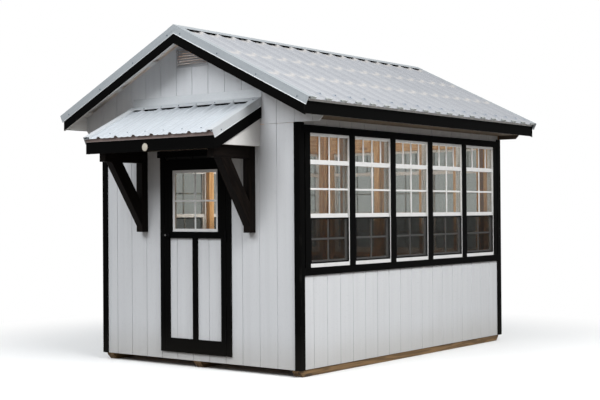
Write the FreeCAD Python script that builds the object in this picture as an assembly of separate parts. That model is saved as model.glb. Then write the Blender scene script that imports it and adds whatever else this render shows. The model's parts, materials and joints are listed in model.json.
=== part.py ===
import FreeCAD, Part
import math
import os

# Greenhouse storage shed: stick-framed walls and floor on skids, ribbed metal roof, a hinged door under
# a bracketed canopy and a row of single-hung windows in each side wall and in the back wall.
# Millimetres. +Z is up, the door faces -Y, and the origin is on the ground under the middle of the floor.

os.makedirs("parts", exist_ok=True)
Vector = FreeCAD.Vector

# Lumber and sheet stock
stud_thick = 38.0
stud_deep = 89.0
trim_thick = 18.0
purlin_thick = 19.0
siding_thick = 11.0
metal_thick = 1.2

# Footprint and floor
frame_width = 2438.0
frame_length = 3658.0
skid_size = 89.0
skid_clip = 45.0
joist_spacing = 406.0
deck_thick = 16.0
deck_sheets = 3

# Siding panels
siding_bottom = 64.0
panel_joint = 3.0
groove_pitch = 203.2
groove_width = 10.0
groove_depth = 5.0
groove_first_end = 178.0
groove_first_side = 204.0

# Wall framing
window_header = 233.0
gable_stud_spacing = 406.0

# Main roof
roof_pitch = 0.488
eave_height = 2414.0
eave_overhang = 281.0
gable_overhang = 289.0
sheet_overhang = 43.0
purlin_wide = 89.0
purlin_rows = 4
purlin_first = 60.0
purlin_eave_gap = 5.0
rafter_spacing = 603.0
rafter_heel = 101.5
ridge_board_depth = 140.0
collar_tie_rise = 224.0
fascia_thick = 19.0
fascia_depth = 143.0
rake_board_depth = 138.0
soffit_thick = 9.5
return_drop = 42.0
return_chamfer = 36.0

# Ribbed metal sheet, bent trim and screws
rib_pitch = 228.6
rib_height = 19.0
rib_base = 58.0
rib_crown = 20.0
minor_rib_height = 3.5
minor_rib_base = 26.0
minor_rib_crown = 12.0
ridge_gap = 10.0
ridge_cap_leg = 75.0
ridge_fold_depth = 50.0
rake_trim_drop = 56.0
rake_trim_lap = 78.0
drip_drop = 32.0
drip_lap = 15.0
screw_radius = 7.0
screw_height = 5.0
screw_offset = 53.0

# Corner boards and window band
corner_board = 64.0
corner_side_board = 54.0
corner_gap = 15.0
band_board = 67.0

# Windows
window_count = 5
back_window_count = 3
window_pitch = 696.0
window_width = 610.0
window_bottom = 962.0
frame_clearance = 5.0
window_proud = 10.0
jamb_width = 10.0
head_height = 25.0
sill_height = 34.0
meeting_rail_top = 1442.0
meeting_rail = 38.0
transom_light = 214.0
transom_bar = 41.0
glass_thick = 4.0
glass_setback = 16.0
bar_width = 17.0
bar_depth = 8.0
transom_bars = 3
sash_depth = 31.0
sash_stile = 30.0
sash_bottom_rail = 28.0
track_clearance = 0.5
bead_depth = 4.0
stop_depth = 11.0
stop_proud = 8.0
screen_thick = 6.0
screen_rim = 14.0
screen_web = 0.8
screen_setback = 2.0

# Door
door_width = 776.0
door_bottom = 133.0
door_top = 1961.0
door_gap = 4.0
casing_width = 54.0
casing_reveal = 21.0
casing_head_depth = 59.0
casing_head_past = 32.0
casing_head_thick = 25.0
door_head_room = 20.0
door_header_depth = 140.0
door_stile = 61.0
door_bottom_rail = 132.0
door_lock_rail = 61.0
door_top_rail = 101.0
door_mullion = 57.0
door_light_width = 580.0
door_light_bottom = 1277.0
door_light_border = 28.0
door_light_proud = 8.0
door_light_lip = 10.0
door_bar_width = 16.0
door_bar_depth = 6.0
door_bead_depth = 10.0
door_frame_board = 80.0
door_frame_inset = 8.0
stud_clearance = 8.0
stop_width = 24.0

# Door hardware
hinge_height = 100.0
hinge_low_inset = 187.0
hinge_high_inset = 171.0
hinge_middle_drop = 553.0
hinge_knuckles = 5
knuckle_radius = 6.0
knuckle_gap = 0.4
pin_radius = 3.0
pin_clearance = 0.1
leaf_thick = 1.6
leaf_depth = 36.0
latch_height = 1244.0
latch_inset = 46.0
latch_shaft_radius = 5.0
latch_clearance = 0.3
rose_radius = 24.0
rose_thick = 6.0
stem_radius = 8.0
stem_length = 14.0
handle_bar_length = 100.0
handle_bar_size = 16.0
handle_round = 5.0
hub_radius = 15.0
lock_radius = 10.0
lock_proud = 4.0
cam_length = 74.0
cam_width = 20.0
cam_thick = 4.0
cam_clearance = 3.0

# Gable vent
vent_width = 406.0
vent_shift = -36.0
vent_drop = 142.0
vent_height = 198.0
vent_border = 14.0
vent_depth = 5.0
vent_blades = 7
vent_blade_thick = 3.0

# Door canopy
canopy_height = 2475.0
canopy_run = 634.0
canopy_width = 1616.0
canopy_sheet_past = 26.0
canopy_sheet_gap = 4.0
canopy_ribs = 7
canopy_rib_inset = 200.0
canopy_rake_depth = 150.0
canopy_clearance = 5.0
canopy_fascia_lap = 38.0
canopy_fascia_depth = 150.8
canopy_drip_drop = 40.0
canopy_ceiling_thick = 9.0
canopy_flashing_rise = 71.0
canopy_flashing_past = 8.0
canopy_flashing_lap = 92.0
canopy_flashing_screw = 30.0
canopy_ledger_depth = 140.0
canopy_purlin_wide = 64.0
canopy_purlin_first = 30.0
canopy_purlin_last = 100.0
bracket_size = 80.0
bracket_arm_depth = 110.0
bracket_spacing = 1358.0
bracket_shift = 13.0
bracket_leg = 777.0
bracket_reach = 560.0
brace_depth = 120.0
brace_pitch = 1.53
brace_foot = 58.0
plate_width = 66.0
plate_tall = 72.0
plate_thick = 8.0
plate_lift = 1.0
plate_shift = -28.0

# Values worked out from the sizes above
half_width = frame_width / 2
half_length = frame_length / 2
face_x = half_width + siding_thick
face_y = half_length + siding_thick
joist_top = skid_size + stud_deep
floor_top = joist_top + deck_thick
stud_bottom = floor_top + stud_thick
inner_x = half_width - stud_deep
inner_y = half_length - stud_deep

fascia_face = face_x + eave_overhang
eave_run = fascia_face + sheet_overhang
rake_face = face_y + gable_overhang
roof_cos = 1 / math.sqrt(1 + roof_pitch ** 2)
roof_sin = roof_pitch * roof_cos
apex = eave_height + roof_pitch * eave_run
slope_length = eave_run / roof_cos
fascia_bottom = eave_height + roof_pitch * sheet_overhang - fascia_depth
gable_bottom = fascia_bottom - return_drop
wall_panel_top = gable_bottom - panel_joint
plate_top = apex - roof_pitch * half_width - rafter_heel
stud_top = plate_top - 2 * stud_thick
vent_bottom = apex - vent_drop - vent_height

door_half = door_width / 2
casing_inner = door_half + door_gap
door_stud = casing_inner + door_gap
door_head = door_top + door_gap
casing_top = door_head + casing_reveal
opening_top = door_head + door_head_room

canopy_ceiling = casing_top + casing_head_depth + canopy_clearance
canopy_fascia_bottom = canopy_ceiling - canopy_fascia_lap
canopy_pitch = (canopy_height - canopy_fascia_bottom - canopy_fascia_depth) / canopy_run
bracket_bottom = canopy_ceiling - bracket_leg
canopy_cos = 1 / math.sqrt(1 + canopy_pitch ** 2)
canopy_sin = canopy_pitch * canopy_cos
rib_top = rib_height + metal_thick


def box(x0, x1, y0, y1, z0, z1):
    """Upright block between two corners."""
    return Part.makeBox(x1 - x0, y1 - y0, z1 - z0, Vector(x0, y0, z0))


def prism(points, along):
    """Block swept from a closed outline of points along a straight vector."""
    face = Part.Face(Part.makePolygon(points + [points[0]]))
    return face.extrude(along)


def prism_y(outline, y0, y1):
    """Outline of (x, z) points swept along Y."""
    return prism([Vector(x, y0, z) for x, z in outline], Vector(0, y1 - y0, 0))


def prism_x(outline, x0, x1):
    """Outline of (y, z) points swept along X."""
    return prism([Vector(x0, y, z) for y, z in outline], Vector(x1 - x0, 0, 0))


def prism_z(outline, z0, z1):
    """Outline of (x, y) points swept along Z."""
    return prism([Vector(x, y, z0) for x, y in outline], Vector(0, 0, z1 - z0))


def rod(radius, start, end):
    """Round bar between two points."""
    axis = end - start
    return Part.makeCylinder(radius, axis.Length, start, axis)


def flip_x(solids):
    """The same solids on the other side of the shed, left for right."""
    return [solid.mirror(Vector(0, 0, 0), Vector(1, 0, 0)) for solid in solids]


def flip_y(solids):
    """The same solids at the other end of the shed, front for back."""
    return [solid.mirror(Vector(0, 0, 0), Vector(0, 1, 0)) for solid in solids]


def both_sides(solids):
    """The solids and their left-for-right twins."""
    return solids + flip_x(solids)


def both_ends(solids):
    """The solids and their front-for-back twins."""
    return solids + flip_y(solids)


def to_back(solids):
    """Solids laid out on the right wall, turned to the back wall."""
    turned = []
    for solid in solids:
        moved = solid.copy()
        moved.rotate(Vector(0, 0, 0), Vector(0, 0, 1), 90)
        moved.translate(Vector(0, face_y - face_x, 0))
        turned.append(moved)
    return turned


def save(node, solids):
    """Write one sub-part, as separate solids, to its own file."""
    for solid in solids:
        if solid.Volume < 0:
            solid.reverse()
    Part.makeCompound(solids).exportStep(f"parts/{node}.step")


def spread(first, last, spacing):
    """Places from first to last, as even as possible and at most spacing apart."""
    gaps = max(1, math.ceil((last - first) / spacing - 0.01))
    return [first + (last - first) * i / gaps for i in range(gaps + 1)]


# Roof geometry

def roof_z(x):
    """Height of the underside of the roof sheet at a distance x from the middle."""
    return apex - roof_pitch * abs(x)


def on_roof(down, lift):
    """(x, z) on the right slope: a distance down from the ridge, and a lift square to the sheet."""
    return (down * roof_cos + lift * roof_sin, apex - down * roof_sin + lift * roof_cos)


def roof_drop(lift):
    """Height, measured plumb, of a distance measured square to the roof."""
    return lift / roof_cos


def canopy_z(out):
    """Height of the underside of the canopy sheet at a distance out from the wall."""
    return canopy_height - canopy_pitch * out


def on_canopy(down, lift):
    """(y, z) on the canopy: a distance down from the wall, and a lift square to the sheet."""
    out = down * canopy_cos + lift * canopy_sin
    return (-face_y - out, canopy_height - down * canopy_sin + lift * canopy_cos)


# Floor

def skids():
    """Three treated timbers with clipped ends, laid along the shed."""
    ends = [(half_length, skid_size), (half_length, skid_clip), (half_length - skid_clip, 0.0)]
    outline = ends + [(-y, z) for y, z in reversed(ends)]
    outer = half_width - skid_size / 2
    return [prism_x(outline, x - skid_size / 2, x + skid_size / 2) for x in (-outer, 0.0, outer)]


def floor_joists():
    """Joists across the skids, between a rim joist down each side."""
    rim = box(half_width - stud_thick, half_width, -half_length, half_length, skid_size, joist_top)
    inside = half_width - stud_thick
    last = half_length - stud_thick / 2
    joists = [box(-inside, inside, y - stud_thick / 2, y + stud_thick / 2, skid_size, joist_top)
              for y in spread(-last, last, joist_spacing)]
    return both_sides([rim]) + joists


def floor_deck():
    """Plywood sheets laid edge to edge over the joists."""
    sheet = frame_length / deck_sheets
    return [box(-half_width, half_width, -half_length + i * sheet, -half_length + (i + 1) * sheet,
                joist_top, floor_top) for i in range(deck_sheets)]


# Walls

bracket_places = [bracket_shift + side * bracket_spacing / 2 for side in (-1, 1)]


def window_row(count):
    """Centres of a row of windows about the middle of its wall."""
    return [(i - (count - 1) / 2) * window_pitch for i in range(count)]


window_places = window_row(window_count)
back_window_places = window_row(back_window_count)
rough_half = window_width / 2 + frame_clearance
rough_bottom = window_bottom - frame_clearance
rough_top = stud_top - window_header
window_top = rough_top - frame_clearance


def wall_length(y0, y1, z0, z1):
    """Piece of framing as deep as the right wall."""
    return box(inner_x, half_width, y0, y1, z0, z1)


def window_framing(places, reach):
    """Studs, headers and sills of a wall of windows, laid out on the right wall."""
    pieces = []
    edges = {reach - stud_thick}
    for y in places:
        pieces.append(wall_length(y - rough_half, y + rough_half, rough_top, stud_top))
        pieces.append(wall_length(y - rough_half, y + rough_half, rough_bottom - stud_thick, rough_bottom))
        pieces.append(wall_length(y - stud_thick / 2, y + stud_thick / 2, stud_bottom,
                                  rough_bottom - stud_thick))
        edges.add(y + rough_half)
        edges.add(y - rough_half - stud_thick)
    edges.add(-reach)
    pieces += [wall_length(y, y + stud_thick, stud_bottom, stud_top) for y in sorted(edges)]
    return pieces


def side_wall_framing():
    """Plates, studs, headers and sills of the right wall."""
    plates = [wall_length(-half_length, half_length, low, high) for low, high in (
        (floor_top, stud_bottom), (stud_top, stud_top + stud_thick), (stud_top + stud_thick, plate_top))]
    return plates + window_framing(window_places, half_length)


def end_wall_plates(y0, y1, bottom_spans):
    """Bottom and doubled top plates of an end wall between the side walls."""
    pieces = [box(x0, x1, y0, y1, floor_top, stud_bottom) for x0, x1 in bottom_spans]
    pieces.append(box(-inner_x, inner_x, y0, y1, stud_top, stud_top + stud_thick))
    pieces.append(box(-inner_x, inner_x, y0, y1, stud_top + stud_thick, plate_top))
    return pieces


def front_wall_framing():
    """Framing of the door wall, with trimmers, king studs and studs behind the canopy brackets."""
    y0, y1 = -half_length, -inner_y
    pieces = end_wall_plates(y0, y1, [(-inner_x, -door_stud), (door_stud, inner_x)])
    header_top = opening_top + door_header_depth
    king = door_stud + stud_thick
    corner = inner_x - stud_thick
    half = [box(door_stud, king, y0, y1, stud_bottom, opening_top),
            box(king, king + stud_thick, y0, y1, stud_bottom, stud_top),
            box(corner, inner_x, y0, y1, stud_bottom, stud_top)]
    pieces += both_sides(half)
    pieces += [box(x - stud_thick / 2, x + stud_thick / 2, y0, y1, stud_bottom, stud_top)
               for x in bracket_places]
    pieces.append(box(-king, king, y0, y1, opening_top, header_top))
    pieces.append(box(-stud_thick / 2, stud_thick / 2, y0, y1, header_top, stud_top))
    return pieces


def back_wall_framing():
    """Plates, studs, headers and sills of the back wall."""
    plates = end_wall_plates(inner_y, half_length, [(-inner_x, inner_x)])
    return plates + to_back(window_framing(back_window_places, inner_x))


def gable_studs():
    """Short studs between the front top plate and the end rafters."""
    pieces = []
    x = gable_stud_spacing
    while x < inner_x - stud_thick:
        top = roof_z(x + stud_thick / 2) - roof_drop(purlin_thick + stud_deep)
        if top > plate_top + stud_deep:
            pieces.append(box(x - stud_thick / 2, x + stud_thick / 2, -half_length,
                              -half_length + stud_thick, plate_top, top))
        x += gable_stud_spacing
    return both_ends(both_sides(pieces))


def wall_framing():
    """Every plate, stud, header and sill of the four walls."""
    return both_sides(side_wall_framing()) + front_wall_framing() + back_wall_framing() + gable_studs()


# Roof frame

def rafter_pair(y):
    """Two rafters with birdsmouth seats on the side-wall plates, at a place along the shed."""
    tail = fascia_face - fascia_thick
    top = roof_drop(purlin_thick)
    low = roof_drop(purlin_thick + stud_deep)
    ridge = stud_thick / 2
    outline = [(ridge, roof_z(ridge) - top), (tail, roof_z(tail) - top),
               (tail, roof_z(tail) - low), (ridge, roof_z(ridge) - low)]
    rafter = prism_y(outline, y - stud_thick / 2, y + stud_thick / 2)
    seat = box(0.0, half_width, y - stud_thick, y + stud_thick, plate_top - 2 * stud_deep, plate_top)
    return both_sides([rafter.cut(seat)])


def roof_rafters():
    """Rafters, the ridge board between them and collar ties on the inner pairs."""
    last = half_length - stud_thick / 2
    places = spread(-last, last, rafter_spacing)
    pieces = []
    for y in places:
        pieces += rafter_pair(y)
    ridge_top = roof_z(stud_thick / 2) - roof_drop(purlin_thick)
    pieces.append(box(-stud_thick / 2, stud_thick / 2, -half_length, half_length,
                      ridge_top - ridge_board_depth, ridge_top))
    tie_low = plate_top + collar_tie_rise
    tie_top = tie_low + stud_deep
    reach = (apex - roof_drop(purlin_thick) - tie_top) / roof_pitch - stud_thick / 4
    for y in places[1:-1]:
        side = y + stud_thick / 2
        pieces.append(box(-reach, reach, side, side + stud_thick, tie_low, tie_top))
    return pieces


purlin_last = (fascia_face - fascia_thick - purlin_eave_gap) / roof_cos - purlin_wide
purlin_places = [purlin_first + (purlin_last - purlin_first) * i / (purlin_rows - 1)
                 for i in range(purlin_rows)]


def roof_purlins():
    """Boards along the roof that carry the sheets past both gables."""
    end = rake_face - fascia_thick
    pieces = []
    for down in purlin_places:
        outline = [on_roof(down, 0.0), on_roof(down + purlin_wide, 0.0),
                   on_roof(down + purlin_wide, -purlin_thick), on_roof(down, -purlin_thick)]
        pieces.append(prism_y(outline, -end, end))
    return both_sides(pieces)


# Siding

def groove_places(first, low, high):
    """Groove centres that fall inside a panel, on one pattern for the whole wall."""
    steps = math.ceil((low + groove_width - first) / groove_pitch)
    places = []
    place = first + steps * groove_pitch
    while place < high - groove_width:
        places.append(place)
        place += groove_pitch
    return places


def grooved_edge(first, low, high, inner, outer):
    """(along, across) outline of a panel with grooves cut in its outer face."""
    depth = groove_depth if outer > inner else -groove_depth
    outline = [(high, inner), (low, inner), (low, outer)]
    for place in groove_places(first, low, high):
        for along, across in ((-0.5, outer), (-0.5, outer - depth), (0.5, outer - depth), (0.5, outer)):
            outline.append((place + along * groove_width, across))
    outline.append((high, outer))
    return outline


def end_panel(x0, x1, z0, z1):
    """Grooved panel on the front wall."""
    return prism_z(grooved_edge(groove_first_end - face_x, x0, x1, -half_length, -face_y), z0, z1)


def side_panel(y0, y1, z0, z1):
    """Grooved panel on the right wall."""
    edge = grooved_edge(groove_first_side - face_y, y0, y1, half_width, face_x)
    return prism_z([(across, along) for along, across in edge], z0, z1)


def gable_panel():
    """Front gable panel, which runs past the corners to close the ends of the boxed eaves."""
    bottom = gable_bottom
    reach = fascia_face - fascia_thick - panel_joint
    under = roof_drop(purlin_thick)
    half = [(reach - return_chamfer, bottom), (reach, bottom + return_chamfer),
            (reach, roof_z(reach) - under)]
    outline = half + [(0.0, apex - under)] + [(-x, z) for x, z in reversed(half)]
    panel = end_panel(-reach, reach, bottom, apex)
    hole = vent_width / 2 - vent_border
    vent_hole = box(vent_shift - hole, vent_shift + hole, -face_y, -half_length, vent_bottom + vent_border,
                    vent_bottom + vent_height - vent_border)
    return panel.common(prism_y(outline, -face_y, -half_length)).cut(vent_hole)


def siding_front():
    """Panels round the doorway, and the gable above."""
    right = end_panel(casing_inner, face_x, siding_bottom, wall_panel_top)
    left = end_panel(-face_x, -casing_inner, siding_bottom, wall_panel_top)
    below = end_panel(-casing_inner, casing_inner, siding_bottom, door_bottom - door_gap)
    above = end_panel(-casing_inner, casing_inner, door_head, wall_panel_top)
    return [left, right, below, above, gable_panel()]


def window_panels(panel, places, reach, top):
    """Panels below, above and between the windows of a wall, each cut by that wall's own panel maker."""
    pieces = [panel(-reach, reach, siding_bottom, rough_bottom), panel(-reach, reach, rough_top, top)]
    edges = [-reach]
    for place in places:
        edges += [place - rough_half, place + rough_half]
    edges.append(reach)
    for low, high in zip(edges[0::2], edges[1::2]):
        pieces.append(panel(low, high, rough_bottom, rough_top))
    return pieces


def siding_back():
    """Panels round the back windows, and the gable above."""
    return flip_y(window_panels(end_panel, back_window_places, face_x, wall_panel_top) + [gable_panel()])


def siding_right():
    """Panels round the windows of the right wall."""
    return window_panels(side_panel, window_places, half_length, stud_top)


# Outside boards

board_x = face_x + trim_thick
board_y = face_y + trim_thick


def corner_trim():
    """Two boards at each corner, the end-wall board lapping the side-wall one."""
    top = gable_bottom
    front = box(board_x - corner_board, board_x, -board_y, -face_y, siding_bottom, top)
    side = box(face_x, board_x, -face_y, -face_y + corner_side_board, siding_bottom, top)
    return both_ends(both_sides([front, side]))


def window_band(places, reach):
    """Boards above, below and between the windows of a wall, laid out on the right wall."""
    pieces = [box(face_x, board_x, -reach, reach, window_bottom - band_board, window_bottom),
              box(face_x, board_x, -reach, reach, window_top, window_top + band_board)]
    edges = [-reach + corner_gap]
    for y in places:
        edges += [y - window_width / 2, y + window_width / 2]
    edges.append(reach - corner_gap)
    for y0, y1 in zip(edges[0::2], edges[1::2]):
        pieces.append(box(face_x, board_x, y0, y1, window_bottom, window_top))
    return pieces


def window_trim():
    """Window bands of both side walls and the back wall, each between its corner boards."""
    sides = both_sides(window_band(window_places, face_y - corner_side_board))
    return sides + to_back(window_band(back_window_places, board_x - corner_board))


def fascia_boards():
    """Eave fascia along both sides and rake boards up both gables."""
    inner = fascia_face - fascia_thick
    end = rake_face - fascia_thick
    top = roof_drop(metal_thick)
    eave = prism_y([(inner, roof_z(inner) - top), (fascia_face, roof_z(fascia_face) - top),
                    (fascia_face, fascia_bottom), (inner, fascia_bottom)], -end, end)
    depth = roof_drop(rake_board_depth)
    rake = prism_y([(0.0, apex), (fascia_face, roof_z(fascia_face)),
                    (fascia_face, roof_z(fascia_face) - depth), (0.0, apex - depth)], -rake_face, -end)
    return both_sides([eave]) + both_ends(both_sides([rake]))


def eave_soffits():
    """Flat boards that close the eaves from the wall to the fascia."""
    inner = fascia_face - fascia_thick
    return both_sides([box(face_x, inner, -half_length, half_length, fascia_bottom,
                           fascia_bottom + soffit_thick)])


# Metal roof

def rib_line(ribs, low, high):
    """(along, lift) points of the upper face of a ribbed sheet from one edge to the other."""
    points = [(low, metal_thick)]

    def raise_rib(place, base, crown, height):
        for along, lift in ((-base, 0.0), (-crown, height), (crown, height), (base, 0.0)):
            points.append((place + along / 2, metal_thick + lift))

    for i, rib in enumerate(ribs):
        raise_rib(rib, rib_base, rib_crown, rib_height)
        if i < len(ribs) - 1:
            for third in (1, 2):
                raise_rib(rib + third * rib_pitch / 3, minor_rib_base, minor_rib_crown, minor_rib_height)
    points.append((high, metal_thick))
    return points


def rib_places(length):
    """Major ribs spread evenly about the middle of a sheet."""
    count = int((length - rib_base) / rib_pitch) + 1
    return [(i - (count - 1) / 2) * rib_pitch for i in range(count)]


def ribbed_sheet(ribs, half, run):
    """Flat ribbed sheet: ribs along +X, width along Y, underside of the pans at Z 0."""
    upper = rib_line(ribs, -half, half)
    lower = [(along, lift - metal_thick) for along, lift in reversed(upper)]
    return prism([Vector(0, along, lift) for along, lift in upper + lower], Vector(run, 0, 0))


sheet_half = rake_face - metal_thick
roof_ribs = rib_places(2 * sheet_half)


def roof_sheet():
    """Right slope of the metal roof."""
    sheet = ribbed_sheet(roof_ribs, sheet_half, slope_length - ridge_gap)
    sheet.rotate(Vector(0, 0, 0), Vector(0, 1, 0), math.degrees(math.atan(roof_pitch)))
    x, z = on_roof(ridge_gap, 0.0)
    sheet.translate(Vector(x, 0, z))
    return sheet


def ridge_cap():
    """Bent cap along the ridge, with its ends folded down over the rake trim."""
    low = rib_top + metal_thick
    high = low + metal_thick
    end = rake_face + 2 * metal_thick
    right = [on_roof(ridge_cap_leg, high), on_roof(ridge_cap_leg, low)]
    left = [(-x, z) for x, z in reversed(right)]
    bent = [(0.0, apex + roof_drop(high))] + right + [(0.0, apex + roof_drop(low))] + left
    cap = prism_y(bent, -end, end)
    drop = ridge_fold_depth
    reach = ridge_cap_leg * roof_cos
    fold = [(0.0, apex + roof_drop(low)), (reach, roof_z(reach) + roof_drop(low)),
            (reach, roof_z(reach) + roof_drop(low) - drop), (0.0, apex + roof_drop(low) - drop)]
    fold += [(-x, z) for x, z in reversed(fold[1:3])]
    return [cap] + both_ends([prism_y(fold, -end, -end + metal_thick)])


def edge_flashing():
    """Rake trim bent over both gable edges, and drip edge along both eaves."""
    end = rake_face + metal_thick
    foot = slope_length
    hung = [(0.0, apex + roof_drop(rib_top)), on_roof(foot, rib_top), on_roof(foot, -rake_trim_drop),
            (0.0, apex - roof_drop(rake_trim_drop))]
    over = [(0.0, apex + roof_drop(rib_top + metal_thick)), on_roof(foot, rib_top + metal_thick),
            on_roof(foot, rib_top), (0.0, apex + roof_drop(rib_top))]
    rake = prism_y(hung, -end, -rake_face).fuse(prism_y(over, -end, -end + rake_trim_lap))
    inner = fascia_face - drip_lap
    outer = fascia_face + metal_thick
    thick = roof_drop(metal_thick)
    drip = prism_y([(inner, roof_z(inner)), (outer, roof_z(outer)), (outer, roof_z(outer) - drip_drop),
                    (fascia_face, roof_z(outer) - drip_drop), (fascia_face, roof_z(fascia_face) - thick),
                    (inner, roof_z(inner) - thick)], -rake_face + fascia_thick, rake_face - fascia_thick)
    return both_ends(both_sides([rake.removeSplitter().Solids[0]])) + both_sides([drip])


def roof_screws():
    """Hex-headed screws beside the ribs on every purlin but the one under the ridge cap."""
    pieces = []
    for down in purlin_places[1:]:
        for rib in roof_ribs[:-1]:
            x0, z0 = on_roof(down + purlin_wide / 2, metal_thick)
            x1, z1 = on_roof(down + purlin_wide / 2, metal_thick + screw_height)
            y = rib + screw_offset
            pieces.append(rod(screw_radius, Vector(x0, y, z0), Vector(x1, y, z1)))
    return both_sides(pieces) + both_ends(both_sides(rake_screws())) + canopy_screws()


def rake_screws():
    """Screws through the face of one rake trim, one at the end of each purlin."""
    face = -rake_face - metal_thick
    pieces = []
    for down in purlin_places:
        x, z = on_roof(down + purlin_wide / 2, -rake_trim_drop / 2)
        pieces.append(rod(screw_radius, Vector(x, face, z), Vector(x, face - screw_height, z)))
    return pieces


# Gable vents

def gable_vents():
    """Louvred vents high in both gables, with slim rims and blades set back in the panels."""
    half = vent_width / 2
    top = vent_bottom + vent_height
    front = -face_y - vent_depth
    inner = half - vent_border
    pieces = [box(-half, half, front, -face_y, vent_bottom, vent_bottom + vent_border),
              box(-half, half, front, -face_y, top - vent_border, top)]
    pieces += both_sides([box(inner, half, front, -face_y, vent_bottom + vent_border, top - vent_border)])
    room = (vent_height - 2 * vent_border) / vent_blades
    for i in range(vent_blades):
        low = vent_bottom + vent_border + i * room
        blade = [(-face_y, low), (-face_y, low + vent_blade_thick), (-half_length, low + room),
                 (-half_length, low + room - vent_blade_thick)]
        pieces.append(prism_x(blade, -inner, inner))
    for piece in pieces:
        piece.translate(Vector(vent_shift, 0, 0))
    return both_ends(pieces)


# Door canopy

canopy_half = canopy_width / 2
canopy_board = canopy_half - fascia_thick
canopy_out = canopy_run - fascia_thick
canopy_cheek = canopy_board - siding_thick
canopy_slope = (canopy_run + canopy_sheet_past) / canopy_cos
canopy_rib_places = [canopy_rib_inset - canopy_half + i * rib_pitch for i in range(canopy_ribs)]
canopy_purlins = spread(canopy_purlin_first, canopy_run - canopy_purlin_last, canopy_run / 2)


def canopy_drop(lift):
    """Height, measured plumb, of a distance measured square to the canopy."""
    return lift / canopy_cos


def canopy_sheet():
    """Ribbed sheet over the door, sloping down from the wall."""
    sheet = ribbed_sheet(canopy_rib_places, canopy_half, canopy_slope - canopy_sheet_gap)
    sheet.rotate(Vector(0, 0, 0), Vector(0, 1, 0), math.degrees(math.atan(canopy_pitch)))
    sheet.rotate(Vector(0, 0, 0), Vector(0, 0, 1), -90)
    y, z = on_canopy(canopy_sheet_gap, 0.0)
    sheet.translate(Vector(0, y, z))
    return [sheet]


def canopy_strip(low, high, x0, x1):
    """Flat strip down the slope of the canopy, between two heights above it and two places along it."""
    wall = -face_y
    return prism_x([(wall, canopy_height + canopy_drop(high)), on_canopy(canopy_slope, high),
                    on_canopy(canopy_slope, low), (wall, canopy_height + canopy_drop(low))], x0, x1)


def canopy_rake(rib):
    """Rake trim down the right side. A lip meets the sheet, unless the rib nearest the edge is under it."""
    outer = canopy_half + metal_thick
    inner = outer - rake_trim_lap
    bent = canopy_strip(-rake_trim_drop, rib_top, canopy_half, outer)
    bent = bent.fuse(canopy_strip(rib_top, rib_top + metal_thick, inner, outer))
    if rib + rib_base / 2 < inner:
        bent = bent.fuse(canopy_strip(metal_thick, rib_top, inner, inner + metal_thick))
    return bent.removeSplitter().Solids[0]


def canopy_flashing():
    """Bent flashing at the wall, rake trim down both sides and drip edge at the front."""
    wall = -face_y
    half = canopy_half + canopy_flashing_past
    cover = rib_top + metal_thick
    lap = canopy_flashing_lap
    rise = canopy_height + canopy_drop(cover) + canopy_flashing_rise
    apron = prism_x([(wall, rise), (wall - metal_thick, rise), on_canopy(metal_thick, cover + metal_thick),
                     on_canopy(lap, cover + metal_thick), on_canopy(lap, cover),
                     (wall, canopy_height + canopy_drop(cover))], -half, half)
    out = canopy_run + metal_thick
    top = canopy_z(out)
    drip = box(-canopy_half, canopy_half, wall - out, wall - canopy_run, top - canopy_drip_drop, top)
    rakes = [canopy_rake(canopy_rib_places[-1])] + flip_x([canopy_rake(-canopy_rib_places[0])])
    return [apron] + rakes + [drip]


def canopy_fascia():
    """Black fascia across the front and rake boards down both sides of the canopy."""
    wall = -face_y
    front = prism_x([(wall - canopy_out, canopy_z(canopy_out)), (wall - canopy_run, canopy_z(canopy_run)),
                     (wall - canopy_run, canopy_fascia_bottom), (wall - canopy_out, canopy_fascia_bottom)],
                    -canopy_half, canopy_half)
    depth = canopy_drop(canopy_rake_depth)
    meet = (canopy_height - depth - canopy_fascia_bottom) / canopy_pitch
    rake = prism_x([(wall, canopy_z(0.0)), (wall - canopy_out, canopy_z(canopy_out)),
                    (wall - canopy_out, canopy_fascia_bottom), (wall - meet, canopy_fascia_bottom),
                    (wall, canopy_z(0.0) - depth)], canopy_board, canopy_half)
    return [front] + both_sides([rake])


def canopy_panels():
    """White cheeks that close the sides, and the panel that closes the underside."""
    wall = -face_y
    top = canopy_drop(purlin_thick)
    cheek = prism_x([(wall, canopy_ceiling), (wall - canopy_out, canopy_ceiling),
                     (wall - canopy_out, canopy_z(canopy_out) - top), (wall, canopy_z(0.0) - top)],
                    canopy_cheek, canopy_board)
    ceiling = box(-canopy_cheek, canopy_cheek, wall - canopy_out, wall, canopy_ceiling,
                  canopy_ceiling + canopy_ceiling_thick)
    return both_sides([cheek]) + [ceiling]


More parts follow.
